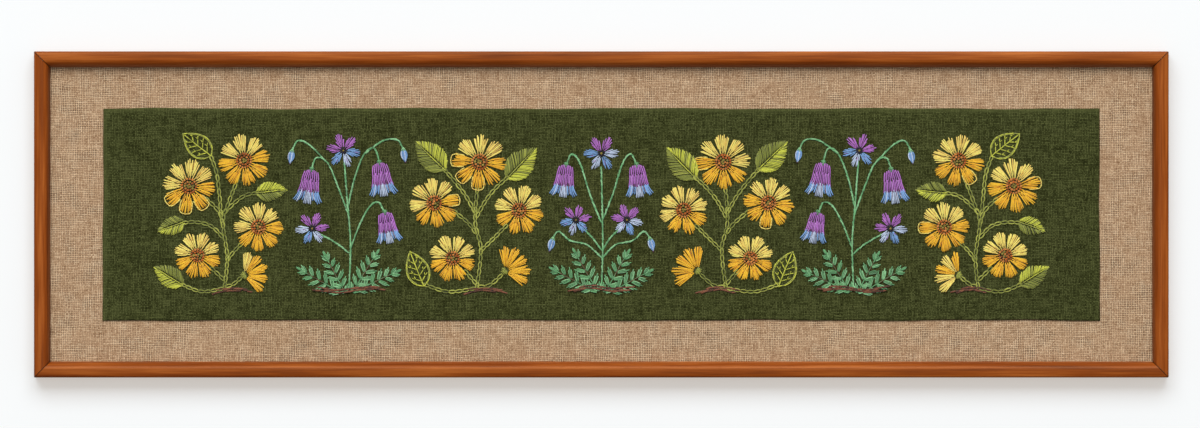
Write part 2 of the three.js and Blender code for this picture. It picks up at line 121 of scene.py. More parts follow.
# The plants, in mirrored pairs round the middle one
PLANTS = (
    ("middle", "middle", 0, 1),
    ("inner_left", "inner", -88, -1),
    ("inner_right", "inner", 88, 1),
    ("bell_left", "bell", -178, -1),
    ("bell_right", "bell", 178, 1),
    ("outer_left", "outer", -266, -1),
    ("outer_right", "outer", 266, 1),
)

# Each table gives one plant of each kind, as in the frame: x from its foot, z from the panel's middle.
# Daisies and stars: x, z, radius, turn
DAISIES = {
    "inner": ((-2, 37, 20.5, 4), (-30, 3, 18.5, 16), (30, 8, 19, -8), (17, -31, 17.5, 20)),
    "outer": ((-14, 38, 19.5, -12), (25, 20, 20, 8), (-24, -9, 18.5, 2), (19, -29, 17.5, 18)),
}
STARS = {
    "middle": ((0, 43, 13.5, 0), (-18, -4, 12, 12), (18, -4, 12, -12)),
    "bell": ((4, 45, 13, 10), (26, -10, 12.5, -6)),
}
# Half daisies, bells and buds: x, z, length, aim
HALF_DAISIES = {
    "inner": ((-20, -40, 19, 148),),
    "outer": ((-14, -43, 18, 160),),
}
BELLS = {
    "middle": ((-26, 24, 25, -96), (26, 24, 25, -84)),
    "bell": ((-23, 25, 26, -98), (28, 20, 26, -82), (-27, -9, 24, -100)),
}
BUDS = {
    "middle": ((-34, -16, 11, -105), (34, -16, 11, -75)),
    "bell": ((-38, 47, 11, -100), (40, 46, 11, -80)),
}
# Leaves and ferns: x, z, length, half width, aim. An open leaf is only outlined and veined.
LEAVES = {
    "inner": (
        (-21, 25, 31, 10, 134, "filled"), (22, 31, 30, 10, 44, "filled"),
        (37, -51, 27, 8.5, 68, "open"),
    ),
    "outer": (
        (-22, 15, 23, 7.4, 174, "filled"), (28, -5, 21, 7, -20, "filled"), (9, 41, 26, 8.5, 38, "open"),
        (29, -50, 25, 8, 32, "filled"),
    ),
}
FERNS = {
    "middle": (
        (-10, -51.6, 31, 7.5, 152), (10, -53, 31, 7.5, 28), (-4, -52, 33, 7.5, 120),
        (4, -52.6, 33, 7.5, 60),
    ),
    "bell": (
        (-9, -52, 31, 7.5, 155), (9, -53.5, 33, 7.5, 30), (-4, -52.4, 33, 7.5, 122),
        (4, -53, 31, 7, 62),
    ),
}
STEMS = {
    "middle": (
        ((0, -53), (1, -20), (0, 34)),
        ((0, -6), (-8, 14), (-15, 36), (-21, 42.5), (-25, 34)),
        ((0, -6), (8, 14), (15, 36), (21, 42.5), (25, 34)),
        ((0.5, -26), (-6, -17), (-14, -9)),
        ((0.5, -26), (6, -17), (14, -9)),
        ((0.5, -31), (-10, -21.5), (-22, -18.5), (-30, -12), (-34.2, -17)),
        ((0.5, -31), (10, -21.5), (22, -18.5), (30, -12), (34.2, -17)),
    ),
    "bell": (
        ((0, -53), (-1, -20), (1, 6), (3.4, 38)),
        ((1, 4), (-4, 26), (-11, 43), (-18, 46.5), (-21.5, 36)),
        ((0.5, 0), (8, 20), (15, 36), (23, 40), (27, 30)),
        ((-1, -24), (-8, -6), (-15, 6), (-21, 8.5), (-25, 1)),
        ((-0.5, -28), (8, -21), (20, -14)),
        ((-11.5, 43), (-24, 52), (-34, 52.5), (-38.2, 46)),
        ((15.5, 36.5), (28, 49), (36, 52), (40.2, 45)),
    ),
    "inner": (
        ((0, -53), (-3, -25), (1, -5), (-1, 24)),
        ((-2.5, -26), (-10, -19), (-22, -7)),
        ((0, -14), (6, -6), (17, 3)),
        ((-0.5, -50), (9, -39)),
        ((0, -51), (-9, -50), (-18.5, -42)),
        ((0.5, -3), (-6, 9), (-13.6, 18.6), (-23, 27)),
        ((0.5, 0), (7, 12), (14.5, 22), (24, 33)),
        ((0, -52), (20, -54.6), (38, -49)),
    ),
    "outer": (
        ((0, -53), (-2, -30), (1, -6), (-3, 8), (-10, 26)),
        ((1, -8), (4, 2), (14, 12)),
        ((-1.5, -34), (-6, -27), (-16, -17)),
        ((-0.5, -47), (10, -37)),
        ((0, -51), (-6, -49.5), (-12.5, -44)),
        ((1, 0), (-7, 8), (-15, 13.5), (-24, 15)),
        ((0.5, -17), (9, -8.5), (19, -5.6), (30, -6)),
        ((2.2, -2), (3.6, 15), (5.4, 29), (10, 42)),
        ((0, -52), (16, -54.5), (31, -49)),
    ),
}
GROUNDS = {
    "middle": ((-24, -54), (-8, -51.5), (8, -53.5), (24, -52)),
    "bell": ((-26, -53), (-9, -52), (8, -54), (26, -52)),
    "inner": ((-22, -55.5), (-6, -52.5), (10, -55)),
    "outer": ((-20, -55), (-5, -52.5), (9, -55)),
}

# The forms of the motifs, as in the frame, and for petals the share of their room that stitches fill,
# the number of stitches, their width and how high they lie
DAISY = {
    "petals": 8, "spread": 360, "notch": 0.3, "power": 0.6, "narrowing": 0.92,
    "fill": 0.8, "stitches": 10, "width": 0.98, "crown": 0.95,
}
HALF_DAISY = {
    "petals": 5, "spread": 150, "notch": 0.3, "power": 0.6, "narrowing": 0.92,
    "fill": 0.84, "stitches": 7, "width": 0.98, "crown": 0.95,
}
STAR = {
    "petals": 6, "spread": 360, "notch": 0.55, "power": 1.3, "narrowing": 1.0,
    "fill": 0.74, "stitches": 7, "width": 0.84, "crown": 0.85,
}
DAISY_ROOT, DAISY_MIDDLE = 0.24, 0.25
HALF_DAISY_ROOT, STAR_ROOT = 2.2, 1.6
CALYX_RADIUS = 3.2
BELL_WIDTH_SHARE = 0.86
BELL_BODY = ((0, 0.2), (0.12, 0.48), (0.34, 0.56), (0.55, 0.6), (0.74, 0.76), (0.9, 1))
BELL_LIP = ((0, 1), (0.24, 1), (0.42, 0.86), (0.72, 0.98), (1, 0.9))
LEAF = {"start": 0, "end": 1, "lean": 0.8, "fullness": 0.85}
FERN = {"leaflets": 6, "start": 0.12, "end": 0.98, "lean": 1, "fullness": 0.7}


def linear(colour):
    """A colour from sRGB numbers up to 255 to the linear ones that Blender reads, with full alpha."""
    shares = [c / 255 for c in colour]
    return [s / 12.92 if s <= 0.04045 else ((s + 0.055) / 1.055) ** 2.4 for s in shares] + [1.0]


def darker(colour, share):
    return tuple(c * share for c in colour)


class Graph:
    """A material or world whose nodes are written as a sum is: each call adds one and gives its output."""

    MIX_A, MIX_B, MIX_RESULT = 6, 7, 2

    def __init__(self, name, store=bpy.data.materials, shader="Principled BSDF"):
        self.owner = store.new(name)
        self.owner.use_nodes = True
        self.tree = self.owner.node_tree
        self.shader = self.tree.nodes[shader]

    def feed(self, socket, value):
        if isinstance(value, bpy.types.NodeSocket):
            self.tree.links.new(value, socket)
        else:
            socket.default_value = value

    def node(self, kind, *inputs, output=0, named=None, **settings):
        """Adds a node and feeds its inputs, in their order and then by name."""
        made = self.tree.nodes.new(kind)
        for key, value in settings.items():
            setattr(made, key, value)
        for key, value in [*enumerate(inputs), *(named or {}).items()]:
            self.feed(made.inputs[key], value)
        return made.outputs[output]

    def set(self, **values):
        """Sets the shader's own sockets. A name's underscores stand for spaces."""
        for key, value in values.items():
            self.feed(self.shader.inputs[key.replace("_", " ")], value)

    def math(self, operation, *inputs):
        return self.node("ShaderNodeMath", *inputs, operation=operation)

    def add(self, a, b):
        return self.math("ADD", a, b)

    def less(self, a, b):
        return self.math("SUBTRACT", a, b)

    def times(self, a, b):
        return self.math("MULTIPLY", a, b)

    def fit(self, value, scale, shift):
        """The value times the scale, plus the shift."""
        return self.math("MULTIPLY_ADD", value, scale, shift)

    def wave(self, value, pace):
        return self.math("SINE", self.times(value, pace))

    def sway(self, noise, amount, tone):
        """Moves a tone up and down with a noise."""
        return self.fit(self.less(noise, 0.5), amount, tone)

    def steps(self, value, low, high):
        """0 below low and 1 above high, smooth between."""
        return self.node("ShaderNodeMapRange", value, low, high, interpolation_type="SMOOTHSTEP")

    def attribute(self, name, output="Fac"):
        return self.node("ShaderNodeAttribute", output=output, attribute_name=name)

    def split(self, vector):
        return self.node("ShaderNodeSeparateXYZ", vector).node.outputs[:]

    def join(self, x=0.0, y=0.0, z=0.0):
        return self.node("ShaderNodeCombineXYZ", x, y, z)

    def scaled(self, vector, scale):
        return self.node("ShaderNodeVectorMath", vector, scale, operation="MULTIPLY")

    def place(self):
        return self.node("ShaderNodeTexCoord", output="Object")

    def millimetres(self):
        return self.scaled(self.place(), (1 / MM, 1 / MM, 1 / MM))

    def noise(self, vector, scale=1.0, detail=2.0, roughness=0.5):
        """Noise from 0 to 1, whose middle is 0.5."""
        named = {"Vector": vector, "Scale": scale, "Detail": detail, "Roughness": roughness}
        return self.node("ShaderNodeTexNoise", named=named)

    def ramp(self, value, *stops):
        """A colour ramp through (place, sRGB colour) stops."""
        made = self.node("ShaderNodeValToRGB", value)
        points = made.node.color_ramp.elements
        while len(points) < len(stops):
            points.new(1.0)
        for point, (place, colour) in zip(points, stops):
            point.position = place
            point.color = linear(colour)
        return made

    def mix(self, factor, a, b):
        named = {self.MIX_A: a, self.MIX_B: b}
        return self.node("ShaderNodeMix", factor, data_type="RGBA", output=self.MIX_RESULT, named=named)

    def bump(self, height, distance, strength):
        named = {"Height": height, "Distance": distance, "Strength": strength}
        self.set(Normal=self.node("ShaderNodeBump", named=named))


# Stranded cotton: turns of its twist a millimetre, plies and fibres round it, and how much each thing
# lightens it. groove is painted shade in the twist's grooves, and crest is painted shade on each strand's
# flanks with a painted highlight along its top
THREAD = {
    "twist": 0.42, "plies": 9.0, "fibres": 26.0, "base": -0.1, "stitch": 0.34, "groove": 0.14,
    "crest": 0.84, "fibre": 0.5, "mottle": 0.3,
}
# How dark a skein gets, as a share of its colour, and the gain and lift of its lightest tone
THREAD_DARK = 0.32
THREAD_LIGHT = (1.16, 5)


def thread_material(skein):
    """Fine strands that wind along the stitch, each stitch a little lighter or darker, with painted shade
    and highlight on each strand.
    """
    g = Graph(f"{skein}_thread")
    along, round_it, _ = g.split(g.node("ShaderNodeUVMap", uv_map="Strand"))
    twist = g.fit(along, THREAD["twist"], g.times(round_it, THREAD["plies"]))
    groove = g.fit(g.wave(twist, 2 * math.pi), 0.5, 0.5)
    fibres = g.noise(g.join(g.times(along, 0.5), g.times(round_it, THREAD["fibres"])), detail=1.0)
    mottle = g.noise(g.millimetres(), scale=0.55, detail=1.0)
    # painted shade on each strand's flanks and a painted highlight along its top
    crest = g.wave(round_it, 2 * math.pi)
    shade = g.fit(g.attribute("shade"), THREAD["stitch"], THREAD["base"])
    # painted shade in the twist's grooves between the plies
    shade = g.fit(groove, THREAD["groove"], shade)
    shade = g.fit(crest, THREAD["crest"], shade)
    shade = g.sway(fibres, THREAD["fibre"], shade)
    shade = g.sway(mottle, THREAD["mottle"], shade)
    colour = SKEINS[skein]
    gain, lift = THREAD_LIGHT
    light = tuple(min(255.0, c * gain + lift) for c in colour)
    tone = g.ramp(shade, (0.0, darker(colour, THREAD_DARK)), (0.5, colour), (1.0, light))
    g.set(Base_Color=tone, Roughness=0.5, Specular_IOR_Level=0.3, Sheen_Weight=0.15, Sheen_Roughness=0.4)
    g.bump(g.fit(fibres, 0.5, groove), 0.12 * MM, 0.8)
    return g.owner


# Linens: the painted shade in the open gaps between the threads, the threads' tones from dark to light,
# millimetres a thread, how much the threads stray, thin out, open up and vary in tone, and how much
# painted shade and highlight a thread takes as it goes over and under the other set
NATURAL_LINEN = {
    "gap": (42, 26, 14),
    "tones": ((0.0, (126, 95, 67)), (0.5, (180, 147, 114)), (1.0, (222, 193, 158))),
    "pitch": 1.235, "unevenness": 0.55, "slimness": 5.0, "openness": 0.47,
    "streaks": 1.3, "flecks": 1.35, "relief": 0.16, "mottle": 0.75,
}
GREEN_LINEN = {
    "gap": (22, 22, 4),
    "tones": ((0.0, (28, 30, 6)), (0.5, (52, 56, 25)), (1.0, (88, 93, 52))),
    "pitch": 1.12, "unevenness": 0.6, "slimness": 5.0, "openness": 0.43,
    "streaks": 1.9, "flecks": 1.85, "relief": 0.24, "mottle": 0.65,
}
# How far threads stray from straight lines, in threads, and over how many millimetres
THREAD_STRAY, STRAY_RUN = 2.6, 34


def linen_material(name, look):
    """Plain weave: warp and weft go over and under, with uneven threads, slubs and small open gaps."""
    g = Graph(name)
    place = g.millimetres()
    x, _, z = g.split(place)

    def threads(across, shift):
        """Counts the threads across, some thicker and some thinner, as they stray."""
        uneven = g.noise(g.join(across, shift), scale=0.36 / look["pitch"], detail=1.0)
        slow = g.noise(g.join(g.add(x, shift), 0.0, z), scale=1 / STRAY_RUN)
        bent = g.add(g.times(across, 1 / look["pitch"]), g.fit(slow, THREAD_STRAY, -THREAD_STRAY / 2))
        return g.fit(uneven, 1.5 * look["unevenness"], bent)

    def thread(count, onwards, way):
        """The height and tone of one set of threads, where onwards counts the other set."""
        which = g.math("FLOOR", count)
        apart = g.times(which, 7.3)
        within = g.less(g.math("FRACT", count), 0.5)
        thinness = g.noise(g.join(apart, g.times(onwards, 0.16), 40 + way), detail=1.0)
        slimming = g.fit(thinness, look["slimness"], 3.6 - look["slimness"] / 2)
        body = g.less(1.0, g.times(g.times(within, within), slimming))
        sign = g.fit(g.math("FLOORED_MODULO", which, 2.0), -2.0 * way, way)
        over = g.times(g.wave(onwards, math.pi), sign)
        height = g.times(body, g.fit(over, 0.34, 0.66))
        slub = g.noise(g.join(apart, g.times(onwards, 0.13), way))
        fine = g.noise(g.join(g.times(count, 2.2), g.times(onwards, 0.9), way), detail=1.0)
        tone = g.sway(fine, look["flecks"], g.sway(slub, look["streaks"], 0.5))
        # painted shade and highlight: a thread is lighter where it rises over the other set and darker
        # where it dives under
        return height, g.fit(over, look["relief"], tone)

    warp, weft = threads(x, 310.0), threads(z, 770.0)
    warp_height, warp_tone = thread(warp, weft, 1.0)
    weft_height, weft_tone = thread(weft, warp, -1.0)
    height = g.math("MAXIMUM", warp_height, weft_height)
    on_top = g.math("GREATER_THAN", warp_height, weft_height)
    patches = g.noise(place, scale=0.085, detail=3.0)
    tone = g.sway(patches, look["mottle"], g.fit(g.less(warp_tone, weft_tone), on_top, weft_tone))
    cloth = g.ramp(tone, *look["tones"])
    openness = g.sway(patches, 0.7, look["openness"])
    closed = g.steps(height, g.less(openness, 0.2), g.add(openness, 0.14))
    palest = look["tones"][-1][1]
    # painted light: the green panel's turned fold is paler along its top and left, the sides that face the
    # light
    cloth = g.mix(g.times(g.attribute("lit_fold"), 0.4), cloth, linear(palest))
    # painted shade in the open gaps between the threads
    colour = g.mix(closed, linear(look["gap"]), cloth)
    g.set(Base_Color=colour, Roughness=0.9, Specular_IOR_Level=0.08)
    g.bump(height, 0.22 * MM, 0.9)
    return g.owner


WOOD_TONES = ((0.0, (92, 34, 4)), (0.5, (139, 65, 13)), (1.0, (178, 98, 38)))
PORE_COLOUR = (84, 36, 14)
# the painted shade's colour along the rails' sight edges
SIGHT_SHADE_COLOUR = (48, 20, 5)
JOINT_COLOUR = (46, 20, 8)
VARNISH_TINT = (1.0, 0.55, 0.3, 1.0)


def wood_material():
    """Reddish varnished hardwood. The grain attribute holds millimetres along each rail and round it."""
    g = Graph("teak")
    grain = g.attribute("grain", "Vector")

    def marks(long, wide, **how):
        """Noise drawn out along the rail."""
        return g.noise(g.scaled(grain, (1 / long, 1 / wide, 1 / wide)), **how)

    broad = marks(110, 6, detail=3.0)
    streaks = marks(45, 1.3, detail=4.0, roughness=0.6)
    pore = g.steps(marks(5, 0.3), 0.62, 0.74)
    wood = g.ramp(g.sway(streaks, 1.1, g.sway(broad, 1.3, 0.5)), *WOOD_TONES)
    wood = g.mix(g.times(pore, 0.35), wood, linear(PORE_COLOUR))
    # painted shade along the sight edge, deepest on the left rail and none on the bottom one
    wood = g.mix(g.attribute("sight_edge_shade"), wood, linear(SIGHT_SHADE_COLOUR))
    colour = g.mix(g.steps(g.attribute("mitre"), 0.0, 0.3), linear(JOINT_COLOUR), wood)
    g.set(Base_Color=colour, Roughness=g.fit(streaks, 0.2, 0.26))
    g.set(Specular_IOR_Level=0.4, Specular_Tint=VARNISH_TINT)
    g.bump(g.less(streaks, g.times(pore, 0.4)), 0.06 * MM, 0.6)
    return g.owner


BOARD_TONES = ((0.2, (128, 98, 66)), (0.5, (160, 128, 92)), (0.8, (184, 152, 114)))


def board_material():
    """Plain brown fibreboard with flecks and faint fibres."""
    g = Graph("fibreboard")
    place = g.millimetres()
    cloud = g.noise(place, scale=0.012, detail=5.0, roughness=0.6)
    fibres = g.noise(g.scaled(place, (0.35, 1.0, 2.4)), detail=4.0, roughness=0.7)
    tone = g.sway(fibres, 1.2, g.sway(cloud, 0.5, 0.5))
    g.set(Base_Color=g.ramp(tone, *BOARD_TONES), Roughness=0.85, Specular_IOR_Level=0.25)
    g.bump(fibres, 0.2 * MM, 0.5)
    return g.owner


def corners(rows, columns, row_steps=(0, 1, 1, 0), column_steps=(0, 0, 1, 1)):
    """The row and the column of each corner of a grid's faces, in order round each face."""
    row, column = np.ogrid[:rows, :columns]
    return tuple(np.broadcast_arrays(row[..., None] + row_steps, column[..., None] + column_steps))


def make_object(name, node, slot, points, faces, materials, maps, values, slots=None):
    """A mesh object that rides on the frame and hides that node. slot is not used.

    faces is a list of arrays, whose last axis holds corners. The arrays of a UV map in maps, and slots,
    follow the faces. values holds numbers or vectors for each point.
    """
    mesh = bpy.data.meshes.new(name)
    faces = [part.reshape(-1, part.shape[-1]) for part in faces]
    sizes = np.concatenate([np.full(len(part), part.shape[1]) for part in faces])
    vertices = np.concatenate([part.ravel() for part in faces]).astype(np.int32)
    mesh.vertices.add(len(points))
    mesh.vertices.foreach_set("co", points.astype(np.float32).ravel())
    mesh.loops.add(len(vertices))
    mesh.loops.foreach_set("vertex_index", vertices)
    mesh.polygons.add(len(sizes))
    starts = np.concatenate([[0], np.cumsum(sizes)[:-1]])
    mesh.polygons.foreach_set("loop_start", starts.astype(np.int32))
    mesh.polygons.foreach_set("use_smooth", np.ones(len(sizes), bool))
    if slots is not None:
        mesh.polygons.foreach_set("material_index", slots.astype(np.int32))
    for map_name, parts in maps.items():
        flat = np.concatenate([part.reshape(-1, 2) for part in parts]).astype(np.float32)
        mesh.uv_layers.new(name=map_name).data.foreach_set("uv", flat.ravel())
    for value_name, data in values.items():
        kind, field = ("FLOAT_VECTOR", "vector") if data.ndim == 2 else ("FLOAT", "value")
        made = mesh.attributes.new(value_name, kind, "POINT")
        made.data.foreach_set(field, data.astype(np.float32).ravel())
    for material in materials:
        mesh.materials.append(material)
    mesh.update()
    mesh.validate()
    made = bpy.data.objects.new(name, mesh)
    bpy.context.scene.collection.objects.link(made)
    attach(made, "root")
    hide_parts(node)
    return made


THREADS = {skein: thread_material(skein) for skein in SKEINS}


def polar(radius, angle):
    """A point at that radius and angle in degrees, as x and z."""
    return np.array([radius * math.cos(math.radians(angle)), radius * math.sin(math.radians(angle))])


def placer(foot, length, aim):
    """Gives a point by its share of the way from a foot, and how far it lies to the left."""
    onward, side = polar(1, aim), polar(1, aim + 90)
    return lambda share, across: foot + onward * share * length + side * across


class Needlework:
    """Gathers the stitches and knots of one piece, in the panel's millimetres, and makes them one mesh."""

    # Shares of a stitch's cell in the map that looks are baked through
    CELL_EDGE = 0.06
    CAP_EDGE = 0.005
    CAP_WIDTH = 0.04
    # A knot's coil: its radius, the thread's and how far it tilts, as shares of its size
    COIL, TUBE, TILT = 0.27, 0.25, 0.22

    def __init__(self, name):
        self.name = name
        self.rng = np.random.default_rng(zlib.crc32(name.encode()))
        self.vary = self.rng.uniform
        self.stitches = []
        self.knots = []
        self.skeins = []

    def stray(self, size):
        return self.vary(-size, size)

    def chance(self, share):
        return self.rng.random() < share

    def pick(self, skeins):
        return skeins[int(self.rng.integers(len(skeins)))]

    def slot_of(self, skein):
        if skein not in self.skeins:
            self.skeins.append(skein)
        return self.skeins.index(skein)

    def stitch(self, start, end, skein, width=THREAD_WIDTH, lift=0.45, bow=0.0):
        """A straight or bowed stitch. lift is how high its middle runs over the cloth."""
        shade = self.rng.normal(0, 0.42)
        wide = width * self.vary(0.9, 1.1)
        high = lift + self.stray(0.05)
        self.stitches.append((*start, *end, wide, high, bow, self.slot_of(skein), shade))

    def knot(self, at, skein, size, lift):
        shade = self.rng.normal(0, 0.5)
        turn = self.vary(0, 2 * math.pi)
        self.knots.append((*at, size * self.vary(0.88, 1.1), lift, turn, self.slot_of(skein), shade))

    def stitch_rings(self):
        """The rings of points round every stitch, and how far along it each ring lies."""
        rows = np.array([row[:7] for row in self.stitches])
        start, end = rows[:, 0:2], rows[:, 2:4]
        width, lift, bow = rows[:, 4:].T[..., None]
        way = end - start
        length = np.maximum(np.linalg.norm(way, axis=1, keepdims=True), 1e-6)
        along = way / length
        across = np.stack([-along[:, 1], along[:, 0]], 1)
        dive = np.minimum(DIVE_RUN, DIVE_SHARE * length) / length
        near = [(run * dive, rise, wide) for run, rise, wide in STITCH_END]
        near.append(((dive + 0.5) / 2, *QUARTER))
        far = [(1 - share, rise, wide) for share, rise, wide in reversed(near)]
        profile = [*near, (np.full_like(dive, 0.5), *MIDDLE), *far]
        share = np.concatenate([row[0] for row in profile], 1)
        rise, breadth = np.array([row[1:] for row in profile]).T
        bowed = bow * 4 * share * (1 - share)
        path = start[:, None] + share[..., None] * way[:, None] + bowed[..., None] * across[:, None]
        height = np.where(rise < 0, rise, rise * lift)
        half = (width * breadth / 2)[..., None]
        sideways = half * np.cos(ROUND)
        upwards = half * np.sin(ROUND) * THREAD_FLATNESS
        plane = path[:, :, None] + sideways[..., None] * across[:, None, None]
        return np.stack([plane[..., 0], height[..., None] + upwards, plane[..., 1]], -1), share * length

    def knot_rings(self):
        """The same for every knot, whose last ring joins its first."""
        rows = np.array([row[:5] for row in self.knots])
        x, z, size, lift, turn = rows.T[..., None, None]
        turned = 2 * math.pi * np.arange(RINGS + 1) / RINGS
        theta = turned[:-1, None] + turn
        coil, tube = self.COIL * size, self.TUBE * size
        ring = coil + tube * np.cos(ROUND)
        height = lift + self.TILT * size * np.cos(theta) + tube * np.sin(ROUND)
        rings = np.broadcast_arrays(x + ring * np.cos(theta), height, z + ring * np.sin(theta))
        return np.stack(rings, -1), coil[:, 0] * turned

    def cells(self, number):
        """The low corner and size of each stitch's own cell in the map that looks are baked through."""
        side = math.ceil(math.sqrt(len(self.stitches) + len(self.knots)))
        return np.stack([number % side, number // side], 1) / side, 1 / side

    def faces(self, rows, first, distance, closed):
        """The walls and caps of those stitches or knots: corners, strand map, baking map and slots."""
        number = first + np.arange(len(rows))
        base = number * RINGS * STRAND_SIDES
        low, size = self.cells(number)
        slots = np.array([row[-2] for row in rows])
        parts = RINGS if closed else RINGS - 1
        ring, side = corners(parts, STRAND_SIDES, (0, 0, 1, 1), (0, 1, 1, 0))
        inner = np.stack([ring / parts, side / STRAND_SIDES], -1)
        inner = inner * (1 - 2 * self.CELL_EDGE) + self.CELL_EDGE
        walls = (
            base[:, None, None, None] + ring % RINGS * STRAND_SIDES + side % STRAND_SIDES,
            np.stack(np.broadcast_arrays(distance[:, ring], side / STRAND_SIDES), -1),
            low[:, None, None, None] + inner * size,
            np.repeat(slots, parts * STRAND_SIDES),
        )
        caps = []
        if closed:
            return walls, caps
        order = np.arange(STRAND_SIDES)
        ends = ((0, order[::-1], self.CAP_EDGE), (RINGS - 1, order, 1 - self.CAP_WIDTH - self.CAP_EDGE))
        for end, order, edge in ends:
            flat = 0.5 + 0.5 * np.stack([np.cos(ROUND[order]), np.sin(ROUND[order])], -1)
            narrow = flat * (self.CAP_WIDTH, 1 - 2 * self.CELL_EDGE) + (edge, self.CELL_EDGE)
            caps.append((
                base[:, None] + end * STRAND_SIDES + order,
                np.broadcast_to(flat, (len(rows), STRAND_SIDES, 2)),
                low[:, None] + narrow * size,
                slots,
            ))
        return walls, caps

    def build(self, slot, node):
        """Makes the mesh, which hides that node. slot is not used."""
        rings, distance = self.stitch_rings()
        points = [rings.reshape(-1, 3)]
        walls, caps = self.faces(self.stitches, 0, distance, closed=False)
        parts = [walls, *caps]
        if self.knots:
            rings, distance = self.knot_rings()
            points.append(rings.reshape(-1, 3))
            walls, _ = self.faces(self.knots, len(self.stitches), distance, closed=True)
            parts.insert(1, walls)
        across, out, up = np.concatenate(points).T
        world = np.stack([CENTRE.x + across * MM, CLOTH_FRONT - out * MM, CENTRE.z + up * MM], 1)
        faces, strand, bake, slots = zip(*parts)
        shades = [row[-1] for row in self.stitches + self.knots]
        make_object(
            self.name, node, slot, world, faces, [THREADS[skein] for skein in self.skeins],
            maps={"Strand": strand, "OFBake": bake},
            values={"shade": np.repeat(shades, RINGS * STRAND_SIDES)},
            slots=np.concatenate(slots),
        )


def distances(line):
    """How far each point lies along a line of points."""
    return np.concatenate([[0], np.cumsum(np.linalg.norm(np.diff(line, axis=0), axis=1))])


class Route:
    """A smooth way through points, measured along its length."""

    STEPS = 24

    def __init__(self, through):
        points = np.array(through, float)
        self.line = points if len(points) == 2 else self.spline(points)
        self.far = distances(self.line)
        self.length = self.far[-1]

    def spline(self, p):
        """The same Catmull-Rom curve as the frame's stems follow."""
        t = np.linspace(0, 1, self.STEPS, endpoint=False)[:, None]
        spans = []
        for i in range(len(p) - 1):
            before, a, b, after = p[max(i - 1, 0)], p[i], p[i + 1], p[min(i + 2, len(p) - 1)]
            out, into = (b - before) / 2, (after - a) / 2
            cubic = (2 * a - 2 * b + out + into) * t**3
            square = (3 * b - 3 * a - 2 * out - into) * t**2
            spans.append(cubic + square + out * t + a)
        return np.concatenate([*spans, p[-1:]])

    def on(self, distance):
        return np.array([np.interp(distance, self.far, self.line[:, k]) for k in (0, 1)])

    def left(self, distance):
        step = min(0.5, self.length / 4)
        way = self.on(min(distance + step, self.length)) - self.on(max(distance - step, 0))
        way = way / max(np.linalg.norm(way), 1e-9)
        return np.array([-way[1], way[0]])

    def at(self, distance, aside=0.0):
        """The point at that distance, moved to the left by aside."""
        return self.on(distance) + aside * self.left(distance)

    def bow(self, start, end, a, b):
        """How far the way bows to the left of a straight line from a to b, between those distances."""
        halfway = (start + end) / 2
        return float((self.at(halfway) - (a + b) / 2) @ self.left(halfway))


def everywhere(point):
    return True


def stem_stitch(
    work, through, skeins, width, step=2.9, reach=5.0, slant=0.2, stray=0.12, lift=0.4, clear=everywhere
):
    """A rope-like line: each stitch starts beside the one before, a little to one side."""
    route = Route(through)
    distance = 0.0
    while distance < route.length - 0.3:
        end = min(distance + reach * work.vary(0.88, 1.12), route.length)
        a = route.at(distance, -slant + work.stray(stray))
        b = route.at(end, slant + work.stray(stray))
        if clear((a + b) / 2):
            bow = route.bow(distance, end, a, b)
            work.stitch(a, b, work.pick(skeins), width=width, lift=lift, bow=bow)
        distance += step


def chain_stitch(work, through, skeins, clear, link=5.6, half=0.82, width=1.14):
    """A line of looped links, each of two bowed strands that meet at both ends."""
    route = Route(through)
    count = max(1, round(route.length / (link * 0.86)))
    pace = route.length / count
    for i in range(count):
        start, end = i * pace, min((i + 1) * pace + 0.14 * link, route.length)
        if not clear(route.at((start + end) / 2)):
            continue
        curve = route.bow(start, end, route.at(start), route.at(end))
        skein = work.pick(skeins)
        for way in (-1, 1):
            aside = way * half * work.vary(0.9, 1.12)
            edge = way * 0.22
            a, b = route.at(start, edge), route.at(end, edge)
            work.stitch(a, b, skein, width=width, lift=0.42, bow=curve + aside)


def petal_step(form):
    """The degrees from one petal to the next."""
    return form["spread"] / form["petals"]


def petal_outline(form, full):
    """Gives a petal's reach at an angle from its middle, in degrees."""
    waves = 180 / petal_step(form)

    def reach_at(angle):
        phase = math.radians(angle * form["narrowing"]) * waves
        return full * (1 - form["notch"] * (1 - abs(math.cos(phase)) ** form["power"]))

    return reach_at


# Where a petal's long and short stitches begin in turn, as shares of their way from its root
PETAL_STARTS = (0.02, 0.3, 0.14, 0.36)


def petal(work, form, middle, aim, full, root, skeins):
    """Long and short stitches that spread from the flower's middle, with a few deeper streaks."""
    reach_at = petal_outline(form, full)
    half_angle = petal_step(form) / 2 * form["fill"]
    count, width, crown = form["stitches"], form["width"], form["crown"]
    skein, deep = skeins
    for i in range(count):
        share = (i + 0.5 + work.stray(0.26)) / count * 2 - 1
        turn = share * half_angle
        tip = reach_at(turn) * (1 - work.vary(0.0, 0.06))
        if work.chance(0.16):
            tip *= work.vary(0.86, 0.94)
        begin = root + (tip - root) * PETAL_STARTS[i % len(PETAL_STARTS)] + work.vary(0, 0.6)
        lift = crown * (1 - 0.4 * share**2) * work.vary(0.85, 1.08)
        aside = work.stray(1.2)
        start, end = middle + polar(begin, aim + turn), middle + polar(tip, aim + turn + aside)
        work.stitch(start, end, skein, width=width, lift=lift, bow=work.stray(0.12))
    for i in range(count // 4):
        turn = work.stray(0.75) * half_angle
        long = reach_at(turn) - root
        begin = root + long * work.vary(0.2, 0.5)
        start = middle + polar(begin, aim + turn)
        end = middle + polar(begin + long * work.vary(0.3, 0.42), aim + turn)
        work.stitch(start, end, deep, width=width * 0.5, lift=crown + 0.16)


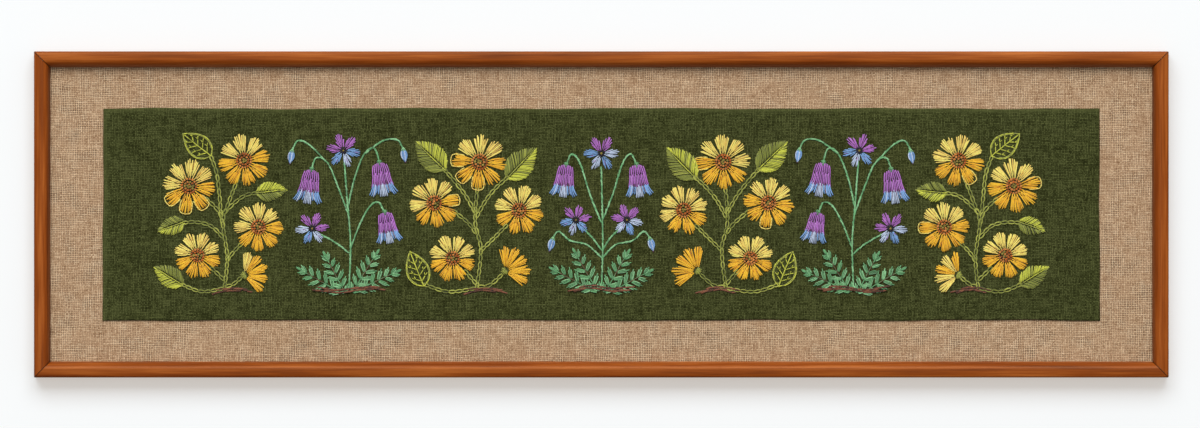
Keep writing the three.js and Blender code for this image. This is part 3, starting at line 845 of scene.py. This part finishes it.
def edged_petal(work, form, middle, aim, full, skein):
    """A thread laid along a petal's rim."""
    reach_at = petal_outline(form, full)
    half_angle = petal_step(form) / 2 * form["fill"]
    turns = np.linspace(-half_angle * 1.02, half_angle * 1.02, 7)
    shares = np.where(np.abs(turns) > half_angle, 0.78, 1.0)
    rim = [middle + polar(reach_at(turn) * share, aim + turn) for turn, share in zip(turns, shares)]
    low, high = [middle + polar(reach_at(0) * 0.55, aim + turn * 1.02) for turn in turns[[0, -1]]]
    stem_stitch(work, [low, *rim, high], [skein], 0.85, step=2.0, reach=3.2, slant=0.1, lift=0.85)


# Rings of knots in a daisy's middle: share of its radius, skeins and how much higher they lie
KNOT_RINGS = (
    (1.0, ("rust", "light_rust", "rust", "light_rust"), 0.0),
    (0.6, ("rust", "light_rust", "olive_yellow", "rust"), 0.25),
    (0.22, ("olive_yellow", "olive_yellow", "light_rust"), 0.3),
)
KNOT_SIZE, KNOT_SPACING = 1.76, 1.95


def knotted_middle(work, middle, radius, lift):
    for share, skeins, extra in KNOT_RINGS:
        at = radius * share
        count = max(3, round(2 * math.pi * at / KNOT_SPACING))
        turn = work.vary(0, 360)
        for i in range(count):
            stray = work.stray(0.18)
            skein = work.pick(skeins)
            place = middle + polar(at + stray, turn + 360 * i / count)
            work.knot(place, skein, KNOT_SIZE, lift + extra)


PALE_PETAL, GOLD_PETAL = ("pale_yellow", "straw"), ("gold", "deep_gold")


def sew_daisy(work, middle, radius, turn):
    """Upper petals are pale and lower ones gold, with a few that don't follow."""
    for k in range(DAISY["petals"]):
        aim = turn + petal_step(DAISY) * k
        full = radius * work.vary(0.965, 1.0)
        height = math.sin(math.radians(aim)) + work.stray(0.45)
        skeins = PALE_PETAL if height > 0.1 else GOLD_PETAL
        petal(work, DAISY, middle, aim, full, DAISY_ROOT * radius, skeins)
        if skeins == GOLD_PETAL and work.chance(0.22):
            edged_petal(work, DAISY, middle, aim, full, "pale_yellow")
    knotted_middle(work, middle, DAISY_MIDDLE * radius, lift=0.8)


def sew_half_daisy(work, middle, radius, aim):
    """A daisy from its side, with a green calyx."""
    for k in range(HALF_DAISY["petals"]):
        towards = aim + (k - (HALF_DAISY["petals"] - 1) / 2) * petal_step(HALF_DAISY)
        full = radius * work.vary(0.965, 1.0)
        skeins = GOLD_PETAL if work.chance(0.8) else PALE_PETAL
        petal(work, HALF_DAISY, middle, towards, full, HALF_DAISY_ROOT, skeins)
    for k in range(9):
        outer = middle + polar(CALYX_RADIUS * work.vary(0.9, 1.05), aim + 180 + (k - 4) * 26)
        inner = middle + polar(1.4, aim + (k - 4) * 9)
        work.stitch(outer, inner, ("olive", "leaf_green")[k % 2], lift=0.95)


def sew_star(work, middle, radius, turn):
    """Six pointed petals round a dark middle: the upper ones violet and the lower ones blue."""
    for k in range(STAR["petals"]):
        aim = turn + petal_step(STAR) * k
        lower = ("pale_blue" if k % 2 == 0 else "cornflower", "violet")
        skeins = ("violet", "plum") if math.sin(math.radians(aim)) > 0.05 else lower
        petal(work, STAR, middle, aim, radius, STAR_ROOT, skeins)
    for k in range(9):
        at = turn + 40 * k
        work.stitch(middle + polar(0.5, at), middle + polar(3.0, at), "night", width=0.7, lift=1.1)
    work.knot(middle, "olive_yellow", 1.6, 1.15)


def sew_bell(work, middle, tall, aim):
    """A nodding bell: violet body, blue lip, plum streaks and a green calyx."""
    half_width = tall * BELL_WIDTH_SHARE / 2
    body_along, body_across = np.array(BELL_BODY).T
    lip_across, lip_along = np.array(BELL_LIP).T
    place = placer(middle, tall, aim)

    def at(across, along):
        return place(along - 0.5, across)

    def wide(along):
        return half_width * float(np.interp(along, body_along, body_across))

    def column(share, start, end, skein, lift, width):
        bulge = share * (wide((start + end) / 2) - (wide(start) + wide(end)) / 2)
        a, b = at(share * wide(start), start), at(share * wide(end), end)
        work.stitch(a, b, skein, width=width, lift=lift * (1 - 0.35 * share**2), bow=bulge)

    for share in np.linspace(-0.93, 0.93, 9):
        column(share, 0.03 + 0.08 * share**2, 0.38 + work.stray(0.04), "violet", 0.9, 0.94)
    for i, share in enumerate(np.linspace(-0.95, 0.95, 12)):
        skein = "light_violet" if i % 4 == 1 else "violet"
        start = 0.3 + 0.05 * (i % 2) + work.stray(0.02)
        column(share, start, 0.68 + work.stray(0.035), skein, 1.0, 0.92)
    count = 17
    for i in range(count):
        share = (i + 0.5) / count * 2 - 1
        start = 0.6 + 0.045 * (i % 2) + work.stray(0.015)
        end = float(np.interp(abs(share), lip_across, lip_along)) - work.vary(0, 0.02)
        a, b = at(share * 0.93 * wide(start), start), at(share * 0.97 * half_width, end)
        skein = "pale_blue" if abs(share) < 0.3 or i % 5 == 2 else "cornflower"
        work.stitch(a, b, skein, width=0.94, lift=0.85, bow=-0.5 * share)
    for share in (-0.42, -0.16, 0.16, 0.42):
        a = at(share * wide(0.5), 0.52 + work.stray(0.03))
        b = at(share * 1.5 * wide(0.62), 0.84 + work.stray(0.03))
        work.stitch(a, b, "plum", width=0.45, lift=1.25)
    top = at(0, -0.02)
    for turn in (-62, -32, 0, 32, 62):
        leaf = polar(1, aim + turn) * (4.6 - abs(turn) / 26)
        work.stitch(top, top + leaf, "sea_green", width=0.85, lift=1.1)


def sew_bud(work, foot, length, aim):
    """A closed bud with a plum tip and a green calyx."""
    down, side = polar(1, aim), polar(1, aim + 90)
    for i, share in enumerate((-0.95, -0.55, -0.18, 0.18, 0.55, 0.95)):
        start = foot + down * (0.7 + 0.8 * abs(share)) + side * share * 1.1
        end = foot + down * (length * (1 - 0.22 * abs(share))) + side * share * 0.9
        skein = "cornflower" if i % 3 else "pale_blue"
        work.stitch(start, end, skein, width=0.85, lift=0.85, bow=share * 1.15)
    tip = foot + down * (length - 1.6)
    work.stitch(tip, tip + down * 1.8, "plum", width=0.7, lift=0.9)
    for turn in (-34, 0, 34):
        end = foot + polar(3.4, aim + turn)
        work.stitch(foot - down * 0.6, end, "light_sea_green", width=0.8, lift=1.05)


def fullness(share, form):
    """The share of the full half width at a share of the length, as in the frame."""
    angle = math.pi * (form["start"] + (form["end"] - form["start"]) * share ** form["lean"])
    return max(math.sin(angle), 0.0) ** form["fullness"]


def leaf_frame(foot, length, half_width, aim):
    """Gives points of a leaf by their share of its length, inside it or on its margin."""
    place = placer(foot, length, aim)

    def margin(share, way, grow=0.0):
        return place(share, way * (half_width * fullness(share, LEAF) + grow))

    return place, margin


SATIN_SPACING = 1.14
VEIN_SHARES = (0.16, 0.32, 0.48, 0.64, 0.79)
# A fern leaflet's strands: how far aside each ends, and its share of the leaflet's length
LEAFLET = ((-0.9, 0.8), (0.9, 0.76), (0, 1.0))


def filled_leaf(work, foot, length, half_width, aim):
    """Two halves of slanting satin stitches, one lime and one olive, with a dark rib between."""
    place, margin = leaf_frame(foot, length, half_width, aim)
    skeins = [("lime", "leaf_green"), ("olive", "leaf_green")]
    if work.chance(0.5):
        skeins.reverse()
    shares = np.linspace(0.0, 1.0, 200)
    for way, (main, other) in zip((-1, 1), skeins):
        far = distances(np.array([margin(s, way) for s in shares]))
        count = round(far[-1] / SATIN_SPACING)
        for i in range(count):
            share = float(np.interp((i + 0.6 + work.stray(0.2)) / count * far[-1], far, shares))
            from_share = max(0.03 + 0.1 * share, share - 0.24 * (1 - 0.35 * share))
            start = place(from_share, way * (0.66 + 0.3 * (i % 2)))
            end = margin(share, way, work.vary(-0.7, 0.2))
            skein = other if work.chance(0.16) else main
            reach = np.linalg.norm(end - start)
            if reach > 0.9:
                lift = min(0.85, 0.3 + 0.12 * reach)
                work.stitch(start, end, skein, width=1.0, lift=lift, bow=-way * 0.03 * reach)
    rib = [place(-0.02, 0.0), place(0.5, 0.15), place(0.9, 0.0)]
    stem_stitch(work, rib, ["leaf_green", "lime"], 0.8, lift=0.5, slant=0.1)


def open_leaf(work, foot, length, half_width, aim):
    """A leaf drawn in lime lines: its rim, its rib and forked veins."""
    place, margin = leaf_frame(foot, length, half_width, aim)
    shares = np.linspace(0, 1, 9)
    limes = ["lime", "lime", "leaf_green"]
    for way in (-1, 1):
        rim = [margin(s, way, -0.45) for s in shares]
        stem_stitch(work, rim, limes, 0.95, step=1.9, reach=3.4, slant=0.16, lift=0.5)
        inner = [margin(s, way, -1.25) for s in shares[1:-1]]
        stem_stitch(work, inner, ["leaf_green"], 0.75, step=2.0, reach=3.2, slant=0.1)
        for share in VEIN_SHARES:
            reach = half_width * fullness(min(share + 0.12, 1), LEAF)
            start = place(share, way * 0.2)
            fork = place(share + 0.1, way * reach * 0.46)
            end = place(share + 0.16, way * (reach - 1.9))
            twig = place(share + 0.19, way * reach * 0.5)
            if reach > 3.4:
                work.stitch(start, fork, "lime", width=0.75, lift=0.4)
                work.stitch(fork, end, "lime", width=0.75, lift=0.4)
                work.stitch(fork, twig, "lime", width=0.65, lift=0.35)
    rib = [place(-0.02, 0.0), place(0.5, 0.2), place(0.95, 0.0)]
    stem_stitch(work, rib, ["lime"], 0.85, lift=0.5, slant=0.12)


def fern(work, foot, length, half_width, aim):
    """Paired leaflets of straight stitches on a rib, with a brown line along part of it."""
    place = placer(foot, length, aim)
    onward = polar(1, aim)
    for k in range(FERN["leaflets"]):
        share = (2 * k + 1) / (2 * FERN["leaflets"])
        reach = half_width * fullness(share, FERN)
        for way in (-1, 1):
            tip = place(share, way * reach) + onward * work.vary(-0.3, 0.6)
            base = place(share - 0.17, way * 0.3)
            long = tip - base
            across = np.array([-long[1], long[0]]) / np.linalg.norm(long)
            for aside, short in LEAFLET:
                start = base + across * aside * 0.5
                end = base + long * short * work.vary(0.94, 1.0) + across * aside
                skein = "light_sea_green" if work.chance(0.2 + 0.4 * abs(aside)) else "sea_green"
                work.stitch(start, end, skein, width=0.9, lift=0.7 + 0.12 * abs(aside), bow=aside * 0.3)
    for aside in (-0.6, 0, 0.6):
        start, end = place(0.86, aside * 0.4), place(1.0 - 0.02 * abs(aside), aside * 0.3)
        work.stitch(start, end, "sea_green", width=0.86, lift=0.7, bow=aside * 0.6)
    rib = [place(0, 0), place(0.5, 0.1), place(0.9, 0)]
    stem_stitch(work, rib, ["sea_green"], 0.8, lift=0.6, slant=0.1)
    vein = [place(0.3, 0), place(0.72, 0)]
    stem_stitch(work, vein, ["brown"], 0.42, lift=1.0, slant=0.06, step=2.6)


# A ground line's rows: how far aside each leaves and arrives, and how much of its ends is left off
GROUND_ROWS = (
    (-1.1, 0.1, 4, 8),
    (0.2, -1.1, 0, 3),
    (1.1, 1.2, 8, 0),
)


def ground(work, points, lift):
    """Rows of brown stem stitch that cross each other and fork at their ends."""
    route = Route(points)
    for leave, arrive, trim_start, trim_end in GROUND_ROWS:
        stops = np.linspace(trim_start, route.length - trim_end, 8)
        asides = np.linspace(leave, arrive, 8) + work.vary(-0.35, 0.35, 8)
        line = [route.at(s, aside) for s, aside in zip(stops, asides)]
        stem_stitch(work, line, ["brown", "brown", "dark_brown"], 1.25, lift=lift, slant=0.26)


def rows_for(table, plant):
    return table.get(plant[1], ())


def on_panel(plant, x, z):
    """A point of a plant, mirrored where its way is -1."""
    _, _, foot, way = plant
    return np.array([foot + way * x, z], float)


def all_on_panel(plant, points):
    return [on_panel(plant, x, z) for x, z in points]


def turned(plant, angle):
    return angle if plant[3] > 0 else 180 - angle


# Stems stop at this share of a flower's radius
HEAD_SHARE = 0.62


def make_foliage(plant):
    """The stems, leaves, ferns and ground line of a plant."""
    name, kind = plant[:2]
    leafy = kind in ("inner", "outer")
    greens = ["leaf_green", "leaf_green", "olive"] if leafy else ["sea_green", "light_sea_green"]
    work = Needlework(f"{name}_foliage_stitches")
    heads = [
        (on_panel(plant, x, z), HEAD_SHARE * radius)
        for x, z, radius, _ in (*rows_for(DAISIES, plant), *rows_for(STARS, plant))
    ]

    def clear(point):
        return all(np.linalg.norm(point - middle) > radius for middle, radius in heads)

    ground(work, all_on_panel(plant, GROUNDS[kind]), 0.45 if leafy else 1.0)
    for through in rows_for(STEMS, plant):
        points = all_on_panel(plant, through)
        if leafy:
            chain_stitch(work, points, greens, clear)
        else:
            stem_stitch(work, points, greens, 1.2, slant=0.3, stray=0.3, clear=clear)
    for x, z, length, half_width, aim, form in rows_for(LEAVES, plant):
        draw = filled_leaf if form == "filled" else open_leaf
        draw(work, on_panel(plant, x, z), length, half_width, turned(plant, aim))
    for x, z, length, half_width, aim in rows_for(FERNS, plant):
        fern(work, on_panel(plant, x, z), length, half_width, turned(plant, aim))
    work.build("leaf_thread" if leafy else "fern_thread", f"{name}_foliage")


FLOWERS = (
    ("daisy", DAISIES, sew_daisy, "yellow_thread"),
    ("half_daisy", HALF_DAISIES, sew_half_daisy, "yellow_thread"),
    ("star", STARS, sew_star, "violet_thread"),
    ("bell", BELLS, sew_bell, "violet_thread"),
    ("bud", BUDS, sew_bud, "blue_thread"),
)


def make_plant(plant):
    for kind, table, sew, slot in FLOWERS:
        for i, (x, z, size, angle) in enumerate(rows_for(table, plant)):
            name = f"{plant[0]}_{kind}_{i + 1}"
            work = Needlework(f"{name}_stitches")
            sew(work, on_panel(plant, x, z), size, turned(plant, angle))
            work.build(slot, name)
    make_foliage(plant)


def fold_map(u, v, rows):
    """Lays a long strip of the map, u and v from 0 to 1, in rows over each other."""
    row = np.minimum(np.floor(u.mean(axis=-1, keepdims=True) * rows), rows - 1)
    return np.stack([u * rows - row, (row + v) / rows], -1)


def uneven_height(x, z):
    """Slow swells of a hand-stretched cloth, from -1 to 1."""
    first = np.sin(x / 31 + 1.3 * np.sin(z / 47)) * np.sin(z / 23 + 0.8)
    second = np.sin(x / 83 + 2.1) * np.sin(z / 61 + 0.4 + x / 190)
    return 0.5 * first + 0.5 * second


# A sheet's swells fade out over this last stretch before its edge, in millimetres
CALM_EDGE = 3
# A sheet's map, from its low edge: the front, then the back and its edges
FRONT_MAP, BACK_MAP, BACK_MAP_LOW = 0.95, 0.035, 0.955
EDGE_MAP = (1.0, 0.992, 0.992, 1.0)


def make_sheet(slot, node, look, outline, section, grid, swell, rests_on):
    """A closed cloth sheet with a slightly uneven front and a soft edge, as deep as its node.

    outline(share x, share z) gives a front point's x and z, its way in from the edge and its share of
    the painted light on the fold that faces the light. section holds ways in and drops behind the front,
    in millimetres. grid is the number of columns and rows, and swell the height of the cloth's swells.
    """
    low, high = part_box(node)
    columns, rows = grid
    rim = np.array(section) * MM
    shares = np.meshgrid(np.linspace(0, 1, columns + 1), np.linspace(0, 1, rows + 1), indexing="ij")
    x, z, inset, lit_fold = outline(*shares)
    uneven = swell * MM * uneven_height(x / MM, z / MM) * np.clip(inset / (CALM_EDGE * MM), 0, 1)
    y = low.y + np.interp(inset, rim[:, 0], rim[:, 1]) + uneven
    depths = (y, np.full_like(x, high.y))
    points = np.concatenate([np.stack([x, depth, z], -1).reshape(-1, 3) for depth in depths])
    count = x.size
    index = np.arange(count).reshape(columns + 1, rows + 1)
    front = index[corners(columns, rows)].reshape(-1, 4)
    back = front[:, [0, 3, 2, 1]]
    ring = np.concatenate([index[:-1, 0], index[-1, :-1], index[:0:-1, -1], index[0, :0:-1]])
    following = np.roll(ring, -1)
    sides = np.stack([ring, ring + count, following + count, following], -1)
    flat = np.stack(shares, -1).reshape(-1, 2)
    far = np.arange(len(ring) + 1) / len(ring)
    u = np.stack([far[:-1], far[:-1], far[1:], far[1:]], -1)
    front_map = fold_map(flat[front][..., 0], flat[front][..., 1], 2) * (1, FRONT_MAP)
    back_map = flat[back] * (1, BACK_MAP) + (0, BACK_MAP_LOW)
    side_map = np.stack([u, np.broadcast_to(EDGE_MAP, u.shape)], -1)
    made = make_object(
        f"{slot}_sheet", node, slot, points, [front, back + count, sides], [linen_material(slot, look)],
        maps={"OFBake": [front_map, back_map, side_map]},
        values={"lit_fold": np.tile(lit_fold.ravel(), 2)},
    )


NATURAL_EDGE = ((0, 0.3), (0.5, 0.05), (1, 0))


def make_natural_sheet():
    low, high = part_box("linen_ground")

    def outline(s, t):
        x = low.x + (high.x - low.x) * s
        z = low.z + (high.z - low.z) * t
        inset = np.minimum(np.minimum(x - low.x, high.x - x), np.minimum(z - low.z, high.z - z))
        return x, z, inset, np.zeros_like(x)

    look = ("natural_linen", "linen_ground", NATURAL_LINEN)
    make_sheet(*look, outline, NATURAL_EDGE, grid=(180, 50), swell=0.08, rests_on="backing_board")


# The green panel, whose edge strays as the frame's does: wave length, height and shift
PANEL_WIDTH = 703.4
PANEL_HEIGHT = 149.5
EDGE_WAVES = ((171, 0.3, 0.4), (63, 0.2, 2.1))
SIDE_SHIFTS = {"bottom": 0, "right": 1, "top": 2, "left": 3}
# The turned edge's soft section: in from the edge and back from the front
TURNED_EDGE = (
    (0, 0.85), (0.12, 0.5), (0.35, 0.22), (0.7, 0.05),
    (1.3, -0.06), (2.2, -0.02), (3.2, 0.06), (5, 0),
)
# The painted light on the fold along its top and left, the sides that face the light, and how it fades
LIT_FOLD_WIDTH, LIT_FOLD_FADE = 2.6, 0.8


def edge_stray(along, side):
    shift = SIDE_SHIFTS[side]
    waves = [high * np.sin(2 * math.pi * along / long + start + shift) for long, high, start in EDGE_WAVES]
    return sum(waves)


def make_green_sheet():
    half_width, half_height = PANEL_WIDTH / 2, PANEL_HEIGHT / 2
    grid = (200, 44)

    def crowded(share, count, half):
        """Moves evenly spaced lines, from -half to half, so that many lie in the turned edge."""
        edge = np.array([inset for inset, _ in TURNED_EDGE]) / (2 * half)
        inner = np.linspace(edge[-1], 1 - edge[-1], count + 1 - 2 * (len(edge) - 1))
        lines = np.concatenate([edge[:-1], inner, 1 - edge[-2::-1]])
        return (2 * np.interp(share, np.linspace(0, 1, count + 1), lines) - 1) * half

    def outline(s, t):
        x, z = crowded(s, grid[0], half_width), crowded(t, grid[1], half_height)
        reach_x, reach_z = np.abs(x) / half_width, np.abs(z) / half_height
        push_x = np.where(x > 0, edge_stray(z + half_height, "right"), -edge_stray(half_height - z, "left"))
        push_z = np.where(z > 0, edge_stray(half_width - x, "top"), -edge_stray(x + half_width, "bottom"))
        inset = np.minimum(half_width - np.abs(x), half_height - np.abs(z)) * MM
        moved_x = CENTRE.x + (x + push_x * reach_x**12) * MM
        moved_z = CENTRE.z + (z + push_z * reach_z**12) * MM
        # the share of painted light on the fold along the top and left edges
        from_fold = np.minimum(half_width + x, half_height - z)
        lit_fold = np.interp(from_fold, (0, LIT_FOLD_WIDTH, LIT_FOLD_WIDTH + LIT_FOLD_FADE), (1, 1, 0))
        return moved_x, moved_z, inset, lit_fold

    look = ("green_linen", "green_linen", GREEN_LINEN)
    make_sheet(*look, outline, TURNED_EDGE, grid, swell=0.1, rests_on="natural_linen_sheet")


# The rails' section, in millimetres in from the outer edge and back from the front
RAIL_FACE = 11.2
OUTER_WALL = 5.7
LIP_THICKNESS = 8.3
ARRIS_RADIUS = 1.8
ARRIS_DROP = 0.38
ARRIS_TILT = 0.19
FACE_BEND = (3.5, 0.02)
BEVEL_WIDTH = 5.1
BEVEL_DROP = 6.2
BEVEL_BEND = (3.7, 0.55)
SIGHT_EDGE_WIDTH, SIGHT_EDGE_DROP = 0.3, 0.4
MITRE_SET_BACK = 0.212
# About how far apart a rail's rings of points lie, and the angle from which its edges are sharp
RAIL_STATION = 8
SHARP_ANGLE = 38
# The rails in order round the frame, and how deep a painted shade each has along its sight edge
RAIL_SIGHT_SHADES = {"top": 0.1, "right": 0.45, "bottom": 0.0, "left": 0.65}
SIGHT_SHADE_RUN = 2.6
# How far along and round it each rail's grain is moved, so that no two are alike
GRAIN_SHIFT = (1000, 37)


def quadratic(start, bend, end, steps):
    """Points along a quadratic curve, without its first one."""
    a, b, c = np.array(start), np.array(bend), np.array(end)
    shares = np.arange(1, steps + 1) / steps
    return [tuple((1 - t) ** 2 * a + 2 * t * (1 - t) * b + t * t * c) for t in shares]


def rail_section():
    """The moulding's closed section, finer than the frame's."""
    depth = FRAME_SIZE.y / MM
    points = [(0, depth * share) for share in (1, 0.62, 0.3)]
    for turn in np.linspace(0, math.pi / 2 - ARRIS_TILT, 9):
        across = ARRIS_RADIUS * (1 - math.cos(turn))
        points.append((across, ARRIS_DROP + ARRIS_RADIUS * (1 - math.sin(turn))))
    crest = (RAIL_FACE - BEVEL_WIDTH, 0.0)
    points += quadratic(points[-1], FACE_BEND, crest, 5)
    bend = (crest[0] + BEVEL_BEND[0], BEVEL_BEND[1])
    points += quadratic(crest, bend, (RAIL_FACE - SIGHT_EDGE_WIDTH, BEVEL_DROP - SIGHT_EDGE_DROP), 14)
    points += [(RAIL_FACE - 0.1, BEVEL_DROP - 0.3), (RAIL_FACE, BEVEL_DROP - 0.05)]
    points += [(RAIL_FACE, (BEVEL_DROP + LIP_THICKNESS) / 2), (RAIL_FACE, LIP_THICKNESS)]
    points += [(OUTER_WALL, LIP_THICKNESS), (OUTER_WALL, depth / 2), (OUTER_WALL, depth)]
    return np.array(points)


# The walls take the left part of a rail's map, in rows over each other, and the two ends its right edge
RAIL_MAP_WIDTH, RAIL_MAP_ROWS = 0.93, 4
END_MAP_PLACE, END_MAP_SIZE, END_MAP_APART = (0.94, 0.02), (0.05, 0.08), 1.1


def make_rail(side, quarter, length, across, sight_shade, wood):
    """One mitred rail, drawn as the top one and turned by quarters to its side."""
    section = rail_section()
    count = len(section)
    stations = round(length / RAIL_STATION / 4) * 4
    t = np.linspace(-1, 1, stations + 1)
    end = length / 2 - section[:, 0] - MITRE_SET_BACK
    along = t[:, None] * end
    inward, back = np.broadcast_arrays(section[:, 0], section[:, 1], along)[:2]
    turn = quarter * math.pi / 2
    c, s = math.cos(turn), math.sin(turn)
    up = across / 2 - inward
    x, z = along * c + up * s, -along * s + up * c
    world = np.stack([CENTRE.x + x * MM, FRAME_LOW.y + back * MM, CENTRE.z + z * MM], -1).reshape(-1, 3)
    station, point = corners(stations, count)
    walls = station * count + point % count
    caps = np.stack([np.arange(count), stations * count + np.arange(count)[::-1]])
    girth = distances(np.vstack([section, section[:1]]))
    girth /= girth[-1]
    u = ((t + 1) / 2)[station].reshape(-1, 4)
    v = girth[point].reshape(-1, 4)
    wall_map = fold_map(u, 0.02 + 0.96 * v, RAIL_MAP_ROWS) * (RAIL_MAP_WIDTH, 1)
    flat = section / (RAIL_FACE, FRAME_SIZE.y / MM)
    cap_map = np.stack([flat, flat[::-1] + (0, END_MAP_APART)]) * END_MAP_SIZE + END_MAP_PLACE
    shift_along, shift_round = (quarter + 1) * GRAIN_SHIFT[0], (quarter + 1) * GRAIN_SHIFT[1]
    made = make_object(
        f"{side}_rail", f"rail_{side}", "frame_wood", world, [walls, caps], [wood],
        maps={"OFBake": [wall_map, cap_map]},
        values={
            "grain": np.stack([along + shift_along, inward + shift_round, back], -1).reshape(-1, 3),
            "mitre": (end - np.abs(along)).ravel(),
            # painted shade along the sight edge
            "sight_edge_shade": sight_shade * np.interp(inward, (RAIL_FACE - SIGHT_SHADE_RUN, RAIL_FACE), (0, 1)).ravel(),
        },
    )
    made.data.set_sharp_from_angle(angle=math.radians(SHARP_ANGLE))


def make_rails():
    wood = wood_material()
    wide, high = FRAME_SIZE.x / MM, FRAME_SIZE.z / MM
    for quarter, (side, sight_shade) in enumerate(RAIL_SIGHT_SHADES.items()):
        length, across = (high, wide) if quarter % 2 else (wide, high)
        make_rail(side, quarter, length, across, sight_shade, wood)


def finish_board():
    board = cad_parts["backing_board"]
    board.data.materials.clear()
    board.data.materials.append(board_material())


# How far the wall lies behind the frame and reaches each way, and how far down the floor lies
WALL_GAP = 0.0006
WALL_REACH = 4.0
FLOOR_DROP = 1.5
WALL_COLOUR = (181, 192, 200)
WALL_GLOW_COLOUR = (1.0, 0.895, 0.79, 1.0)
WALL_GLOW = 0.465
FLOOR_COLOUR = (236, 234, 230)


def plain_material(name, colour, roughness):
    g = Graph(name)
    tone = g.noise(g.place(), scale=1.4, detail=3.0)
    g.set(Base_Color=g.ramp(tone, (0.3, darker(colour, 0.99)), (0.7, colour)), Roughness=roughness)
    return g


def wall_material():
    """A pale wall that glows a little, and is clear from its back."""
    g = plain_material("pale_wall", WALL_COLOUR, 0.95)
    g.set(Emission_Color=WALL_GLOW_COLOUR, Emission_Strength=WALL_GLOW)
    clear = g.node("ShaderNodeBsdfTransparent")
    behind = g.node("ShaderNodeNewGeometry", output="Backfacing")
    both = g.node("ShaderNodeMixShader", behind, g.shader.outputs[0], clear)
    g.feed(g.tree.nodes["Material Output"].inputs["Surface"], both)
    return g.owner


def make_plane(name, corner_points, material):
    """A flat piece of the stage, which throws no light or shadow on the frame."""
    mesh = bpy.data.meshes.new(name)
    mesh.from_pydata(corner_points, [], [(0, 1, 2, 3)])
    mesh.materials.append(material)
    made = bpy.data.objects.new(name, mesh)
    bpy.context.scene.collection.objects.link(made)
    for ray in ("visible_diffuse", "visible_glossy", "visible_transmission", "visible_shadow"):
        setattr(made, ray, False)


def make_stage():
    """A wall close behind and a floor far below."""
    y = FRAME_HIGH.y + WALL_GAP
    low, high = CENTRE.z - FLOOR_DROP, CENTRE.z + WALL_REACH
    left, right = near, far = -WALL_REACH, WALL_REACH
    wall = [(left, y, low), (right, y, low), (right, y, high), (left, y, high)]
    floor = [(left, near, low), (right, near, low), (right, far, low), (left, far, low)]
    make_plane("wall", wall, wall_material())
    make_plane("floor", floor, plain_material("pale_floor", FLOOR_COLOUR, 0.8).owner)


# Area lights: x and z from the frame's middle, distance in front, width, height, watts
LIGHTS = (
    ("key", -0.3, 4.8, 5.5, 7.4, 4.4, 526),
    ("front", 0.0, 0.0, 3.2, 1.6, 1.6, 9),
    ("behind", 0.3, 1.2, -3.0, 3.0, 3.0, 60),
)
# The room's light from straight below and from straight above
ROOM_LIGHT = (0.15, 0.6)
ROOM_COLOUR = (0.985, 0.99, 1.0, 1.0)


def make_lights():
    for name, x, z, distance, width, height, watts in LIGHTS:
        light = bpy.data.lights.new(name, "AREA")
        light.shape = "RECTANGLE"
        light.size = width
        light.size_y = height
        light.energy = watts
        made = bpy.data.objects.new(name, light)
        made.location = CENTRE + Vector((x, -distance, z))
        aim = CENTRE - made.location
        made.rotation_mode = "QUATERNION"
        made.rotation_quaternion = aim.to_track_quat("-Z", "Y")
        made.visible_camera = False
        bpy.context.scene.collection.objects.link(made)


def make_room():
    """Soft light all round, stronger from above."""
    g = Graph("room", bpy.data.worlds, "Background")
    _, _, height = g.split(g.node("ShaderNodeTexCoord", output="Generated"))
    g.set(Color=ROOM_COLOUR, Strength=g.node("ShaderNodeMapRange", height, -1, 1, *ROOM_LIGHT))
    bpy.context.scene.world = g.owner


# The photograph's width in pixels, and what one pixel is at the frame's front
PICTURE_WIDTH = 1200
PIXEL = 0.7048 * MM
# How far the camera stands right of the frame's middle and above it, in pixels
CAMERA_SHIFT = (-1.35, 0.4)
CAMERA_DISTANCE = 6.0
SENSOR = 36.0


def make_camera():
    camera = bpy.data.cameras.new("camera")
    camera.sensor_width = SENSOR
    camera.lens = SENSOR * CAMERA_DISTANCE / (PICTURE_WIDTH * PIXEL)
    made = bpy.data.objects.new("camera", camera)
    right, up = CAMERA_SHIFT
    made.location = (CENTRE.x + right * PIXEL, FRAME_LOW.y - CAMERA_DISTANCE, CENTRE.z + up * PIXEL)
    made.rotation_euler = (math.pi / 2, 0, 0)
    bpy.context.scene.collection.objects.link(made)
    bpy.context.scene.camera = made
    bpy.context.scene.view_settings.view_transform = "Standard"


make_camera()
make_rails()
finish_board()
make_natural_sheet()
make_green_sheet()
for plant in PLANTS:
    make_plant(plant)
make_lights()
make_room()
make_stage()
